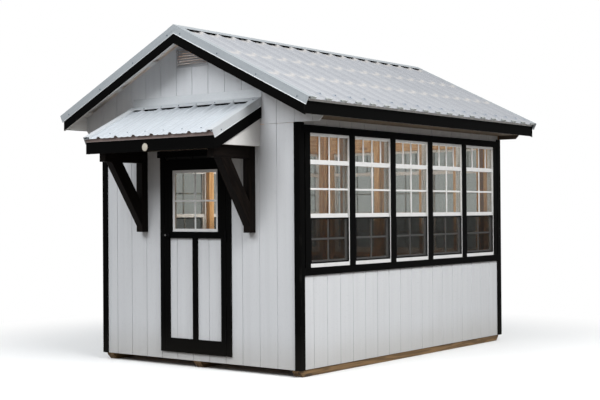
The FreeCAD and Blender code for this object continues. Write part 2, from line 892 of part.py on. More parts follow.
def canopy_frame():
    """Ledger, rafters, front rail, purlins and ceiling battens inside the canopy."""
    wall = -face_y
    half = canopy_cheek
    floor = canopy_ceiling + canopy_ceiling_thick
    under = canopy_drop(purlin_thick)
    low = canopy_drop(purlin_thick + stud_deep)
    rail = canopy_out - stud_thick
    ledger_top = canopy_z(stud_thick) - under
    pieces = [box(-half, half, wall - stud_thick, wall, ledger_top - canopy_ledger_depth, ledger_top),
              box(-half, half, wall - canopy_out, wall - rail, floor, canopy_z(canopy_out) - under)]
    inner = half - stud_thick
    for x in spread(-inner, inner, 2 * joist_spacing):
        low_end = max(canopy_z(rail) - low, floor)
        outline = [(wall - stud_thick, canopy_z(stud_thick) - under), (wall - rail, canopy_z(rail) - under),
                   (wall - rail, low_end), (wall - stud_thick, canopy_z(stud_thick) - low)]
        pieces.append(prism_x(outline, x - stud_thick / 2, x + stud_thick / 2))
    for out in canopy_purlins:
        down = out / canopy_cos
        outline = [on_canopy(down, 0.0), on_canopy(down + canopy_purlin_wide, 0.0),
                   on_canopy(down + canopy_purlin_wide, -purlin_thick), on_canopy(down, -purlin_thick)]
        pieces.append(prism_x(outline, -canopy_board, canopy_board))
    return pieces


def canopy_screws():
    """Screws on the lowest canopy purlin, on the ribs under the wall flashing and on the rake trim."""
    def upright(x, down, lift):
        y0, z0 = on_canopy(down, lift)
        y1, z1 = on_canopy(down, lift + screw_height)
        return rod(screw_radius, Vector(x, y0, z0), Vector(x, y1, z1))

    lowest = canopy_purlins[-1] / canopy_cos + canopy_purlin_wide / 2
    top = canopy_flashing_lap - canopy_flashing_screw
    pieces = [upright(rib + screw_offset, lowest, metal_thick) for rib in canopy_rib_places[:-1]]
    pieces += [upright(rib, top, rib_top + 2 * metal_thick) for rib in canopy_rib_places]
    face = canopy_half + metal_thick
    y, z = on_canopy(lowest, -rake_trim_drop / 2)
    pieces += both_sides([rod(screw_radius, Vector(face, y, z), Vector(face + screw_height, y, z))])
    return pieces


def canopy_brackets():
    """Two timber brackets: a leg on the wall, an arm under the canopy and a diagonal brace."""
    wall = -face_y
    front = wall - bracket_size
    arm_low = canopy_ceiling - bracket_arm_depth
    slant = brace_depth * math.sqrt(1 + brace_pitch ** 2)
    foot = bracket_bottom + brace_foot
    toe = front - (arm_low - foot) / brace_pitch
    diagonal = [(front, foot), (toe, arm_low), (toe + slant / brace_pitch, arm_low), (front, foot + slant)]
    pieces = []
    for x in bracket_places:
        x0, x1 = x - bracket_size / 2, x + bracket_size / 2
        pieces.append(box(x0, x1, front, wall, bracket_bottom, canopy_ceiling))
        pieces.append(box(x0, x1, wall - bracket_reach, front, arm_low, canopy_ceiling))
        pieces.append(prism_x(diagonal, x0, x1))
    return pieces


def fascia_plate():
    """Blank oval plate near the middle of the canopy fascia."""
    x = plate_shift
    y = -face_y - canopy_run
    z = canopy_fascia_bottom + plate_tall / 2 + plate_lift
    oval = Part.Ellipse(Vector(x, y, z + plate_tall / 2), Vector(x + plate_width / 2, y, z), Vector(x, y, z))
    face = Part.Face(Part.Wire(oval.toShape()))
    return [face.extrude(Vector(0, -plate_thick, 0))]


# Door

door_light_top = door_top - door_top_rail
light_half = door_light_width / 2
light_hole_half = light_half - door_light_lip
light_hole_low = door_light_bottom + door_light_lip
light_hole_high = door_light_top - door_light_lip
latch_x = -(door_half - latch_inset)
shaft_hole = rod(latch_shaft_radius + latch_clearance, Vector(latch_x, -board_y, latch_height),
                 Vector(latch_x, -inner_y, latch_height))


def door_panel():
    """Grooved slab of siding with a hole for the glass."""
    slab = end_panel(-door_half, door_half, door_bottom, door_top)
    hole = box(-light_hole_half, light_hole_half, -face_y, -half_length, light_hole_low, light_hole_high)
    return [slab.cut(hole).cut(shaft_hole)]


def door_frame():
    """Flat frame of studs behind the slab, clear of the wall opening."""
    y0, y1 = -half_length, -half_length + stud_thick
    outer = door_half - door_frame_inset
    inner = outer - door_frame_board
    low = floor_top + stud_clearance
    high = door_top - door_frame_inset
    lock = door_light_bottom - door_lock_rail
    stiles = both_sides([box(inner, outer, y0, y1, low, high)])
    rails = [box(-inner, inner, y0, y1, low, low + door_frame_board),
             box(-inner, inner, y0, y1, lock - door_frame_board, lock),
             box(-inner, inner, y0, y1, light_hole_high, high)]
    return [stile.cut(shaft_hole) for stile in stiles] + rails


def door_trim():
    """Black stiles and rails on the face of the door."""
    y0, y1 = -board_y, -face_y
    inner = door_half - door_stile
    lock = door_light_bottom - door_lock_rail
    bottom = door_bottom + door_bottom_rail
    mullion = door_mullion / 2
    stiles = both_sides([box(inner, door_half, y0, y1, door_bottom, door_top)])
    beside = both_sides([box(light_half, inner, y0, y1, door_light_bottom, door_light_top)])
    rails = [box(-inner, inner, y0, y1, door_bottom, bottom),
             box(-inner, inner, y0, y1, lock, door_light_bottom),
             box(-inner, inner, y0, y1, door_light_top, door_top),
             box(-mullion, mullion, y0, y1, bottom, lock)]
    return [stile.cut(shaft_hole) for stile in stiles] + beside + rails


def door_glass_frame():
    """White frame and crossed bars in front of the door glass, and beads behind it."""
    y0, y1 = -face_y - door_light_proud, -face_y
    inner = light_half - door_light_border
    low = door_light_bottom + door_light_border
    high = door_light_top - door_light_border
    pieces = both_sides([box(inner, light_half, y0, y1, door_light_bottom, door_light_top)])
    pieces += [box(-inner, inner, y0, y1, door_light_bottom, low),
               box(-inner, inner, y0, y1, high, door_light_top)]
    half_bar = door_bar_width / 2
    middle = (low + high) / 2
    bar_front = -face_y - door_bar_depth
    pieces.append(box(-half_bar, half_bar, bar_front, y1, low, high))
    pieces += both_sides([box(half_bar, inner, bar_front, y1, middle - half_bar, middle + half_bar)])
    bead0, bead1 = -face_y + glass_thick, -half_length + door_bead_depth
    bead = light_hole_half - door_light_border / 2
    bead_low = light_hole_low + door_light_border / 2
    bead_high = light_hole_high - door_light_border / 2
    pieces += both_sides([box(bead, light_hole_half, bead0, bead1, light_hole_low, light_hole_high)])
    pieces += [box(-bead, bead, bead0, bead1, light_hole_low, bead_low),
               box(-bead, bead, bead0, bead1, bead_high, light_hole_high)]
    return pieces


def door_glass():
    """Pane against the back of the glass frame."""
    return [box(-light_hole_half, light_hole_half, -face_y, -face_y + glass_thick,
                light_hole_low, light_hole_high)]


def door_casing():
    """Boards round the doorway, the head board above, and stops on the studs behind the door."""
    outer = casing_inner + casing_width
    legs = both_sides([box(casing_inner, outer, -board_y, -face_y, door_bottom, casing_top)])
    past = outer + casing_head_past
    head = box(-past, past, -face_y - casing_head_thick, -face_y, casing_top, casing_top + casing_head_depth)
    behind = -half_length + stud_thick + track_clearance
    stops = both_sides([box(door_stud - stop_width, door_stud, behind, behind + trim_thick,
                            floor_top, opening_top)])
    return legs + [head] + stops


# Door hinges

hinge_x = door_half + door_gap / 2
hinge_y = -board_y - knuckle_radius - knuckle_gap
hinge_high = door_top - hinge_high_inset
hinge_centres = (door_bottom + hinge_low_inset, hinge_high - hinge_middle_drop, hinge_high)


def on_hinge(z):
    """Point on the swinging axis of the door."""
    return Vector(hinge_x, hinge_y, z)


def knuckle_spans(centre, first):
    """(low, high) of every second knuckle of a hinge, starting at the first or second."""
    length = hinge_height / hinge_knuckles
    base = centre - hinge_height / 2
    return [(base + i * length + knuckle_gap / 2, base + (i + 1) * length - knuckle_gap / 2)
            for i in range(first, hinge_knuckles, 2)]


def hinge_leaf(centre, x0, x1, first):
    """One leaf: a plate in the gap beside the door, joined to its own knuckles."""
    base = centre - hinge_height / 2
    leaf = box(x0, x1, -board_y, -board_y + leaf_depth, base, base + hinge_height)
    bore = rod(pin_radius + pin_clearance, on_hinge(base), on_hinge(base + hinge_height))
    for low, high in knuckle_spans(centre, first):
        barrel = rod(knuckle_radius, on_hinge(low), on_hinge(high))
        web = box(x0, x1, hinge_y, -board_y, low, high)
        leaf = leaf.fuse(barrel.fuse(web))
    return leaf.cut(bore).removeSplitter().Solids[0]


def hinge_leaves_wall():
    """Casing-side leaves of the three hinges, with their pins."""
    pieces = []
    for centre in hinge_centres:
        pieces.append(hinge_leaf(centre, casing_inner - leaf_thick, casing_inner, 0))
        low = on_hinge(centre - hinge_height / 2)
        high = on_hinge(centre + hinge_height / 2)
        head = rod(knuckle_radius, high, high + Vector(0, 0, pin_radius))
        pieces.append(rod(pin_radius, low, high).fuse(head).removeSplitter().Solids[0])
    return pieces


def hinge_leaves_door():
    """Door-side leaves of the three hinges."""
    return [hinge_leaf(centre, door_half, door_half + leaf_thick, 1) for centre in hinge_centres]


# Door latch

rose_front = -board_y - latch_clearance - rose_thick
bar_back = rose_front - stem_length
bar_front = bar_back - handle_bar_size


def on_latch(y):
    """Point on the turning axis of the latch."""
    return Vector(latch_x, y, latch_height)


def latch_handle():
    """T-handle, its shaft through the door and the cam that swings behind the door stud."""
    rose = rod(rose_radius, on_latch(rose_front), on_latch(rose_front + rose_thick))
    stem = rod(stem_radius, on_latch(bar_back), on_latch(rose_front))
    half = handle_bar_length / 2
    thick = handle_bar_size / 2
    bar = box(latch_x - half, latch_x + half, bar_front, bar_back, latch_height - thick, latch_height + thick)
    bar = bar.makeFillet(handle_round, bar.Edges)
    hub = rod(hub_radius, on_latch(bar_front - lock_proud / 2), on_latch(bar_back))
    cam_back = -inner_y + cam_clearance + cam_thick
    shaft = rod(latch_shaft_radius, on_latch(rose_front), on_latch(cam_back))
    cam = box(latch_x - cam_width / 2, latch_x + cam_width / 2, cam_back - cam_thick, cam_back,
              latch_height - cam_length, latch_height + cam_width / 2)
    return [rose.fuse([stem, bar, hub, shaft, cam]).removeSplitter().Solids[0]]


def lock_cylinder():
    """Round key cylinder on the face of the T-handle."""
    front = bar_front - lock_proud / 2
    return [rod(lock_radius, on_latch(front - lock_proud), on_latch(front))]


# Windows

frame_half = window_width / 2
light_y = frame_half - jamb_width
sill_top = window_bottom + sill_height
head_low = window_top - head_height
transom_top = head_low - transom_light
transom_bar_bottom = transom_top - transom_bar
rail_low = meeting_rail_top - meeting_rail
frame_front = face_x + window_proud
glass_front = frame_front - glass_setback
glass_back = glass_front - glass_thick
bead_back = glass_back - bead_depth
sash_front = bead_back - track_clearance
sash_back = sash_front - sash_depth
stop_front = sash_back - track_clearance
frame_back = stop_front - stop_depth
screen_front = frame_front - screen_setback


def upright_bars(places, z0, z1):
    """White vertical bars on the outside of a fixed pane."""
    half = bar_width / 2
    return [box(glass_front, glass_front + bar_depth, y - half, y + half, z0, z1) for y in places]


def window_frame(y):
    """Vinyl frame of one right-hand window, with its tracks and the bars of its fixed lights."""
    inner = light_y
    pieces = []
    for side in (-1, 1):
        edge, face = sorted((side * frame_half, side * inner))
        pieces.append(box(frame_back, frame_front, y + edge, y + face, window_bottom, window_top))
        near, far = sorted((side * inner, side * (inner - stop_proud)))
        pieces.append(box(frame_back, stop_front, y + near, y + far, sill_top, transom_bar_bottom))
        pieces.append(box(bead_back, glass_back, y + near, y + far, sill_top, transom_bar_bottom))
    for low, high in ((window_bottom, sill_top), (head_low, window_top), (transom_bar_bottom, transom_top)):
        pieces.append(box(frame_back, frame_front, y - inner, y + inner, low, high))
    rail_inner = inner - stop_proud
    rail_front = glass_front + bar_depth
    pieces.append(box(bead_back, rail_front, y - rail_inner, y + rail_inner, rail_low, meeting_rail_top))
    gap = 2 * inner / (transom_bars + 1)
    pieces += upright_bars([y - inner + gap * (i + 1) for i in range(transom_bars)], transom_top, head_low)
    pieces += upright_bars([y], meeting_rail_top, transom_bar_bottom)
    middle = (meeting_rail_top + transom_bar_bottom) / 2
    half = bar_width / 2
    for y0, y1 in ((y - inner, y - half), (y + half, y + inner)):
        pieces.append(box(glass_front, rail_front, y0, y1, middle - half, middle + half))
    return pieces


def window_glass(y):
    """Fixed panes of the upper light and the transom."""
    return [box(glass_back, glass_front, y - light_y, y + light_y, meeting_rail_top, transom_bar_bottom),
            box(glass_back, glass_front, y - light_y, y + light_y, transom_top, head_low)]


def window_screen(y):
    """Insect screen over the lower half: a slim rim round a thin web."""
    back = screen_front - screen_thick
    panel = box(back, screen_front, y - light_y, y + light_y, sill_top, rail_low)
    hole_y = light_y - screen_rim
    hole_low, hole_high = sill_top + screen_rim, rail_low - screen_rim
    middle = (back + screen_front) / 2
    for x0, x1 in ((back, middle - screen_web / 2), (middle + screen_web / 2, screen_front)):
        panel = panel.cut(box(x0, x1, y - hole_y, y + hole_y, hole_low, hole_high))
    return [panel]


sash_half = light_y - track_clearance
sash_low = sill_top + track_clearance
sash_pane_front = sash_front - bar_depth
sash_pane_back = sash_pane_front - glass_thick


def window_sash(y):
    """Lower sash of one right-hand window: stiles, rails and crossed bars."""
    inner = sash_half - sash_stile
    low = sash_low + sash_bottom_rail
    pieces = [box(sash_back, sash_front, y - inner, y + inner, sash_low, low),
              box(sash_back, sash_front, y - inner, y + inner, rail_low, meeting_rail_top)]
    for y0, y1 in ((y - sash_half, y - inner), (y + inner, y + sash_half)):
        pieces.append(box(sash_back, sash_front, y0, y1, sash_low, meeting_rail_top))
    half = bar_width / 2
    middle = (low + rail_low) / 2
    pieces.append(box(sash_pane_front, sash_front, y - half, y + half, low, rail_low))
    for y0, y1 in ((y - inner, y - half), (y + half, y + inner)):
        pieces.append(box(sash_pane_front, sash_front, y0, y1, middle - half, middle + half))
    return pieces


def sash_pane(y):
    """Pane of a lower sash."""
    inner = sash_half - sash_stile
    return [box(sash_pane_back, sash_pane_front, y - inner, y + inner,
                sash_low + sash_bottom_rail, rail_low)]


def all_windows(make):
    """One kind of piece for every window of both side walls and the back wall."""
    sides = [piece for y in window_places for piece in make(y)]
    back = [piece for y in back_window_places for piece in make(y)]
    return both_sides(sides) + to_back(back)


# Write every sub-part

save("skids", skids())
save("floor_joists", floor_joists())
save("floor_deck", floor_deck())
save("wall_framing", wall_framing())
save("roof_rafters", roof_rafters())
save("roof_purlins", roof_purlins())
save("siding_ends", siding_front() + siding_back())
save("siding_sides", both_sides(siding_right()))
save("gable_vents", gable_vents())
save("wall_trim", corner_trim() + window_trim())
save("fascia_boards", fascia_boards())
save("soffit_panels", eave_soffits() + canopy_panels())
save("roof_sheets", both_sides([roof_sheet()]))
save("roof_flashing", ridge_cap() + edge_flashing())
save("roof_screws", roof_screws())
save("canopy_sheet", canopy_sheet())
save("canopy_flashing", canopy_flashing())
save("canopy_fascia", canopy_fascia())
save("canopy_frame", canopy_frame())
save("canopy_brackets", canopy_brackets())
save("fascia_plate", fascia_plate())
save("door_panel", door_panel())
save("door_frame", door_frame())
save("door_trim", door_trim())
save("door_glass_frame", door_glass_frame())
save("door_glass", door_glass())
save("door_casing", door_casing())
save("hinge_leaves_wall", hinge_leaves_wall())
save("hinge_leaves_door", hinge_leaves_door())
save("latch_handle", latch_handle())
save("lock_cylinder", lock_cylinder())
save("window_frames", all_windows(window_frame))
save("window_glass", all_windows(window_glass))
save("window_screens", all_windows(window_screen))
for i, place in enumerate(window_places):
    save(f"sash_right_{i + 1}", window_sash(place))
    save(f"sash_glass_right_{i + 1}", sash_pane(place))
    save(f"sash_left_{i + 1}", flip_x(window_sash(place)))
    save(f"sash_glass_left_{i + 1}", flip_x(sash_pane(place)))
for i, place in enumerate(back_window_places):
    save(f"sash_back_{i + 1}", to_back(window_sash(place)))
    save(f"sash_glass_back_{i + 1}", to_back(sash_pane(place)))
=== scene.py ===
# %% [markdown]
# # A greenhouse storage shed
# The shed is a small framed building: timber walls on skids, a ribbed metal roof, a door under a bracketed
# canopy, five sliding windows in each side wall and three in the back. Its construction model is loaded
# first and stays fixed. Each lesson below takes some of its pieces and gives them softened edges, their
# own grain and a finish.

import json
import math
import random

import bmesh
import bpy
from mathutils import Matrix, Vector

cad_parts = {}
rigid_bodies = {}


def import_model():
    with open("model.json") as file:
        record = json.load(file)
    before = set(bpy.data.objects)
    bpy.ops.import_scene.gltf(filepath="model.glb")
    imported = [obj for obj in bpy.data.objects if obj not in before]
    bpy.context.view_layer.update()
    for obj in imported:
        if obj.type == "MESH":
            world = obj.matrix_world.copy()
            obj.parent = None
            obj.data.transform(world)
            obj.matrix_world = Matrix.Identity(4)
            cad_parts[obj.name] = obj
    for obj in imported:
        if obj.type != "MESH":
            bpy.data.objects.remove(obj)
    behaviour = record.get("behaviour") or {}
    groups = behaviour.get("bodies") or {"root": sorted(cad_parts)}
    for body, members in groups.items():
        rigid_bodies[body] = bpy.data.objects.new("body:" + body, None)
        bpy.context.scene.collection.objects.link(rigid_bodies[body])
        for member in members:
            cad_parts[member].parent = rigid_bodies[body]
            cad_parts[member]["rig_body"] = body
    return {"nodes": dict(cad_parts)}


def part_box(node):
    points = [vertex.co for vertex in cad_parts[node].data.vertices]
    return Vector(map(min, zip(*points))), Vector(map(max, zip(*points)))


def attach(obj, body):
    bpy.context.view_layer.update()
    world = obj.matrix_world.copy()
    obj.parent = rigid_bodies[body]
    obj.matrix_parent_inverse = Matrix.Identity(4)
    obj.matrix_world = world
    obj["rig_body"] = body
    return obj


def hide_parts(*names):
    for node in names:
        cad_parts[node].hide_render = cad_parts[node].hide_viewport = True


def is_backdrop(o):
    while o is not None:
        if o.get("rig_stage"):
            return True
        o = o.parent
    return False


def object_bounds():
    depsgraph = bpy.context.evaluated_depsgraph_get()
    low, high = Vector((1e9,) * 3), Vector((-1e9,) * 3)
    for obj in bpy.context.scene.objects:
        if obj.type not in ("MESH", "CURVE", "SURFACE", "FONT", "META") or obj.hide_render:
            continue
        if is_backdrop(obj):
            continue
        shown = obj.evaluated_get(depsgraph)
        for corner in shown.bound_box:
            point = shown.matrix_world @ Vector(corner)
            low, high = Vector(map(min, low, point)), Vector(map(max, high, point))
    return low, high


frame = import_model()
cad_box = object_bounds()

# %% [markdown]
# ## Shader maths as plain expressions
# A finish is a small network of nodes. Wiring it by hand hides the idea, so a wire gets Python's
# operators: adding or multiplying two wires places the Math node that does it. Every other node comes from
# one method, which sets the node's options first, because some sockets only appear once an option is
# chosen.

# %% Wires and finishes
class Wire:
    """One output of a node. Arithmetic on it adds Math nodes to the same wiring."""

    def __init__(self, wiring, socket):
        self.wiring = wiring
        self.socket = socket

    def maths(self, operation, first, second=0.0):
        return self.wiring.node("ShaderNodeMath", {"operation": operation}, {0: first, 1: second})

    def __add__(self, other):
        return self.maths("ADD", self, other)

    def __radd__(self, other):
        return self.maths("ADD", other, self)

    def __sub__(self, other):
        return self.maths("SUBTRACT", self, other)

    def __rsub__(self, other):
        return self.maths("SUBTRACT", other, self)

    def __mul__(self, other):
        return self.maths("MULTIPLY", self, other)

    def __rmul__(self, other):
        return self.maths("MULTIPLY", other, self)

    def __pow__(self, other):
        return self.maths("POWER", self, other)

    def __lt__(self, other):
        return self.maths("LESS_THAN", self, other)

    def __gt__(self, other):
        return self.maths("GREATER_THAN", self, other)

    def __abs__(self):
        return self.maths("ABSOLUTE", self)

    def sine(self):
        return self.maths("SINE", self)

    def at_least(self, low):
        return self.maths("MAXIMUM", self, low)


class Wiring:
    """The nodes of one material or of the sky, placed and linked."""

    def __init__(self, tree):
        self.tree = tree

    def node(self, kind, settings=None, values=None, out=0):
        made = self.tree.nodes.new(kind)
        for key, value in (settings or {}).items():
            setattr(made, key, value)
        for key, value in (values or {}).items():
            self.feed(made.inputs[key], value)
        return Wire(self, made.outputs[out])

    def feed(self, socket, value):
        if isinstance(value, Wire):
            self.tree.links.new(value.socket, socket)
        else:
            socket.default_value = value


class Finish(Wiring):
    """A material in the making, with its Principled shader."""

    def __init__(self, name):
        self.material = bpy.data.materials.new(name)
        self.material.use_nodes = True
        super().__init__(self.material.node_tree)
        self.shader = self.tree.nodes["Principled BSDF"]
        self.output = self.tree.nodes["Material Output"]

    def set(self, **values):
        """Feed the Principled shader: base_color goes to Base Color, and so on."""
        for key, value in values.items():
            self.feed(self.shader.inputs[key.replace("_", " ").title().replace("Ior", "IOR")], value)
        return self.material


print("shader helpers ready")

# %% [markdown]
# ## Patterns that every finish shares
# Grain, stipple and dust are all noise that has been stretched. A plank's own coordinates are stored on
# its mesh as an attribute called board: the first runs along the plank, so one recipe suits studs and
# rafters.

# %% Pattern helpers
def paint(red, green, blue):
    """A colour given as it looks on screen, 0 to 255, turned into the linear value that shaders use."""
    def linear(value):
        share = value / 255
        return share / 12.92 if share <= 0.04045 else ((share + 0.055) / 1.055) ** 2.4
    return (linear(red), linear(green), linear(blue), 1.0)


def here(finish):
    return finish.node("ShaderNodeTexCoord", out="Object")


def attribute(finish, name, out):
    return finish.node("ShaderNodeAttribute", {"attribute_name": name}, out=out)


def axis_of(wiring, where, axis):
    """How far a place lies along X, Y or Z."""
    return wiring.node("ShaderNodeSeparateXYZ", None, {0: where}, axis)


def stretched(finish, where, scale):
    return finish.node("ShaderNodeMapping", None, {"Vector": where, "Scale": scale})


def noise(finish, where, scale, detail=3.0, warp=0.0):
    return finish.node("ShaderNodeTexNoise", None,
                       {"Vector": where, "Scale": scale, "Detail": detail, "Distortion": warp})


def cells(finish, where, scale, out="Distance"):
    return finish.node("ShaderNodeTexVoronoi", None, {"Vector": where, "Scale": scale}, out)


def red_of(finish, colour):
    """One channel of a cell's random colour, as a number per cell."""
    return finish.node("ShaderNodeSeparateColor", None, {0: colour}, "Red")


def fade(finish, value, low, high):
    """0 below low, 1 above high and smooth between. Low above high turns the fade round."""
    return finish.node("ShaderNodeMapRange", {"interpolation_type": "SMOOTHSTEP"},
                       {"Value": value, "From Min": low, "From Max": high})


def mix(finish, share, first, second):
    return finish.node("ShaderNodeMix", {"data_type": "RGBA"}, {0: share, 6: first, 7: second}, 2)


def relief(finish, height, depth):
    """Bump whose height is a pattern, and whose depth is a real one in metres."""
    return finish.node("ShaderNodeBump", None, {"Strength": 1.0, "Distance": depth, "Height": height})


def list_finishes(*finishes):
    print("made", *(finish.name for finish in finishes))


def height_above_ground(finish):
    return axis_of(finish, here(finish), "Z")


print("pattern helpers ready")

# %% [markdown]
# ## Painted siding
# The panels are pressed wood fibre with a grain embossed along them, painted light grey. Paint hides
# colour, so the relief does most of the work, with faint rain streaks and a little splashed dirt near the
# ground. The strip of siding between the door and the head of its casing lies in the shade of the canopy,
# and that shade is painted black on it, as painted shade. A box in the object's own coordinates picks it
# out. The face that looks into the shed was never painted, and its brown fibre shows through the windows.

# %% Siding paint
# Depth and side inset of the painted shade above the door, under the canopy.
SHADE_DEEP, SHADE_INSET = 0.086, 0.06
SPLASH_HEIGHTS = (0.55, 0.12)


def painted_shade_above_door(finish):
    """1 on the front-wall strip between the door and its casing head, where the shade is painted black."""
    low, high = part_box("door_casing")
    reach = (high.x - low.x) / 2 - SHADE_INSET
    spot = finish.node("ShaderNodeVectorMath", {"operation": "SUBTRACT"},
                       {0: here(finish), 1: ((low.x + high.x) / 2, 0.0, high.z)})
    across, deep, tall = (axis_of(finish, spot, axis) for axis in "XYZ")
    return (abs(across) < reach) * (tall > -SHADE_DEEP) * (tall < 0.0) * (deep < 0.0)


def siding_paint(name, paints_door_shade):
    finish = Finish(name)
    board = attribute(finish, "board", "Vector")
    emboss = noise(finish, stretched(finish, board, (26.0, 120.0, 120.0)), 1.0, 5.0, 0.4)
    stipple = noise(finish, here(finish), 150.0, 4.0)
    streaks = noise(finish, stretched(finish, here(finish), (22.0, 22.0, 0.7)), 1.0, 3.0)
    patches = noise(finish, here(finish), 1.7, 3.0)
    splash = fade(finish, height_above_ground(finish) + 0.22 * patches, *SPLASH_HEIGHTS)
    clean = mix(finish, fade(finish, streaks, 0.35, 0.75), paint(213, 215, 218), paint(209, 211, 214))
    grained = mix(finish, fade(finish, emboss, 0.42, 0.3) * 0.3, clean, paint(191, 193, 197))
    dirt_and_painted_shade = mix(finish, splash * 0.45, grained, paint(176, 172, 164))
    # Painted shade: the siding above the door is painted black for the shade under the canopy.
    if paints_door_shade:
        dirt_and_painted_shade = mix(finish, painted_shade_above_door(finish), dirt_and_painted_shade, paint(14, 13, 12))
    return finish.set(base_color=dirt_and_painted_shade, roughness=0.6 + 0.16 * patches, specular_ior_level=0.12,
                      normal=relief(finish, emboss * 0.4 + stipple * 0.7, 0.0013))


# Painted shade: beyond these distances from the middle, out under the eaves, the inner face is painted dark.
EAVE_PAINTED_SHADE = (1.2, 1.26)


def panel_back():
    """Unpainted inner face: brown fibre with pale flakes, painted dark under the eaves as painted shade."""
    finish = Finish("panel_back")
    flakes = red_of(finish, cells(finish, here(finish), 26.0, "Color"))
    fibre = noise(finish, here(finish), 60.0, 5.0, 0.6)
    clouds = noise(finish, here(finish), 2.2, 3.0)
    brown = mix(finish, flakes * 0.5 + clouds * 0.5, paint(214, 164, 116), paint(184, 136, 92))
    flecked = mix(finish, fade(finish, fibre, 0.5, 0.72) * 0.6, brown, paint(150, 102, 64))
    sideways = abs(axis_of(finish, here(finish), "X"))
    # Painted shade: the parts under the eaves are darkened for the shade that falls there.
    painted_shade_under_eave = mix(finish, fade(finish, sideways, *EAVE_PAINTED_SHADE), flecked, paint(74, 66, 58))
    return finish.set(base_color=painted_shade_under_eave, roughness=0.62 + 0.2 * fibre, specular_ior_level=0.1,
                      normal=relief(finish, flakes * 0.3 + fibre * 0.5, 0.0008))


painted_siding = siding_paint("siding_paint", False)
siding_with_painted_shade = siding_paint("end_siding_painted_shade", True)
bare_back = panel_back()
list_finishes(painted_siding, siding_with_painted_shade, bare_back)

# %% [markdown]
# ## Black trim paint
# Corner boards, window band, fascia and door boards are near-black satin. A flat black looks like a hole,
# so brush marks change the gloss, boards differ a little, dust lies low down and corners are rubbed to
# grey.

# %% Black paint
DUST_HEIGHTS = (0.6, 0.1)


def black_paint():
    finish = Finish("black_trim_paint")
    board = attribute(finish, "board", "Vector")
    tone = attribute(finish, "tone", "Fac")
    worn = attribute(finish, "edge", "Fac")
    brush = noise(finish, stretched(finish, board, (3.0, 160.0, 160.0)), 1.0, 4.0)
    patches = noise(finish, here(finish), 5.0, 4.0)
    rubbed = worn * fade(finish, patches, 0.52, 0.68)
    dust = fade(finish, height_above_ground(finish) + 0.2 * patches, *DUST_HEIGHTS)
    base = mix(finish, tone * 0.5 + brush * 0.5, paint(6, 6, 6), paint(12, 12, 12))
    dusty = mix(finish, dust * 0.12, base, paint(70, 67, 62))
    edged = mix(finish, rubbed * 0.4, dusty, paint(66, 64, 61))
    return finish.set(base_color=edged, roughness=0.42 + 0.22 * brush + 0.1 * dust, specular_ior_level=0.008,
                      normal=relief(finish, brush + patches * 0.3, 0.0004))


black_boards = black_paint()
list_finishes(black_boards)

# %% [markdown]
# ## Timber with its grain
# Contour lines of a long stretched noise look like sawn grain, arches included, so the sine of that noise
# gives the growth rings. Knots are sparse cells. The same recipe serves pale framing, brown treated skids,
# the dark stain of the brackets and white boards: only the colours, the roughness and the sheen change.

# %% Timber recipe
def timber(name, early, late, knot, roughness, sheen=0.4):
    finish = Finish(name)
    board = attribute(finish, "board", "Vector")
    tone = attribute(finish, "tone", "Fac")
    growth = noise(finish, stretched(finish, board, (0.55, 9.0, 9.0)), 1.0, 3.0, 0.5)
    rings = (growth * 58.0).sine() * 0.5 + 0.5
    fibre = noise(finish, stretched(finish, board, (8.0, 260.0, 260.0)), 1.0, 3.0)
    knots = fade(finish, cells(finish, stretched(finish, board, (1.6, 7.0, 7.0)), 1.0), 0.13, 0.07)
    grain = mix(finish, fade(finish, rings * 0.7 + fibre * 0.45, 0.3, 0.95), early, late)
    shaded = mix(finish, tone * 0.3, grain, late)
    knotted = mix(finish, knots * 0.85, shaded, knot)
    return finish.set(base_color=knotted, roughness=roughness + 0.15 * fibre, specular_ior_level=sheen,
                      normal=relief(finish, fibre * 0.7 + rings * 0.4, 0.0006))


pale_framing = timber("framing_lumber", paint(216, 177, 128), paint(186, 140, 92), paint(104, 64, 38), 0.6)
treated_skids = timber("treated_timber", paint(132, 104, 70), paint(98, 76, 50), paint(54, 40, 28), 0.68)
bracket_stain_timber = timber("bracket_stain", paint(21, 16, 13), paint(11, 8, 7), paint(7, 6, 6), 0.5, 0.04)
white_boards = timber("white_boards", paint(222, 221, 219), paint(218, 216, 213), paint(212, 209, 204), 0.5)
list_finishes(pale_framing, treated_skids, bracket_stain_timber, white_boards)

# %% [markdown]
# ## Plywood floor
# A rotary-cut face veneer shows broad wandering grain, with a few oval patches where the mill plugged a
# knot. It shows through the doorway and the windows.

# %% Plywood
def plywood_face():
    finish = Finish("floor_plywood")
    board = attribute(finish, "board", "Vector")
    growth = noise(finish, stretched(finish, board, (0.9, 2.6, 2.6)), 1.0, 4.0, 1.4)
    rings = (growth * 46.0).sine() * 0.5 + 0.5
    scuffs = noise(finish, here(finish), 9.0, 6.0)
    plugs = fade(finish, cells(finish, stretched(finish, board, (1.6, 3.0, 3.0)), 1.0), 0.1, 0.085)
    veneer = mix(finish, rings, paint(206, 176, 132), paint(184, 148, 102))
    plugged = mix(finish, plugs * 0.6, veneer, paint(166, 128, 84))
    trodden = mix(finish, fade(finish, scuffs, 0.5, 0.75) * 0.4, plugged, paint(140, 122, 98))
    return finish.set(base_color=trodden, roughness=0.58 + 0.2 * scuffs,
                      normal=relief(finish, rings * 0.3 + scuffs * 0.4, 0.0005))


floor_plywood = plywood_face()
list_finishes(floor_plywood)

# %% [markdown]
# ## Coated roofing metal
# The sheets are rolled steel with a silver coating. The coating freezes in small crystals and rain draws
# faint streaks down the slope. The flanks of the ribs are painted darker, as painted shade. Where screws
# pull the sheet slightly flat onto each purlin, a paler band is painted, as a painted highlight. At the
# eave, a bluish mark on the crown of each rib is painted shade round the crown screws. The spacing of the
# purlins and of the eave screws is read from the construction model.

# %% Where the roof is fixed
BOX_CORNERS = 36
SCREW_REACH, SCREW_HALF = 0.03, 0.0075


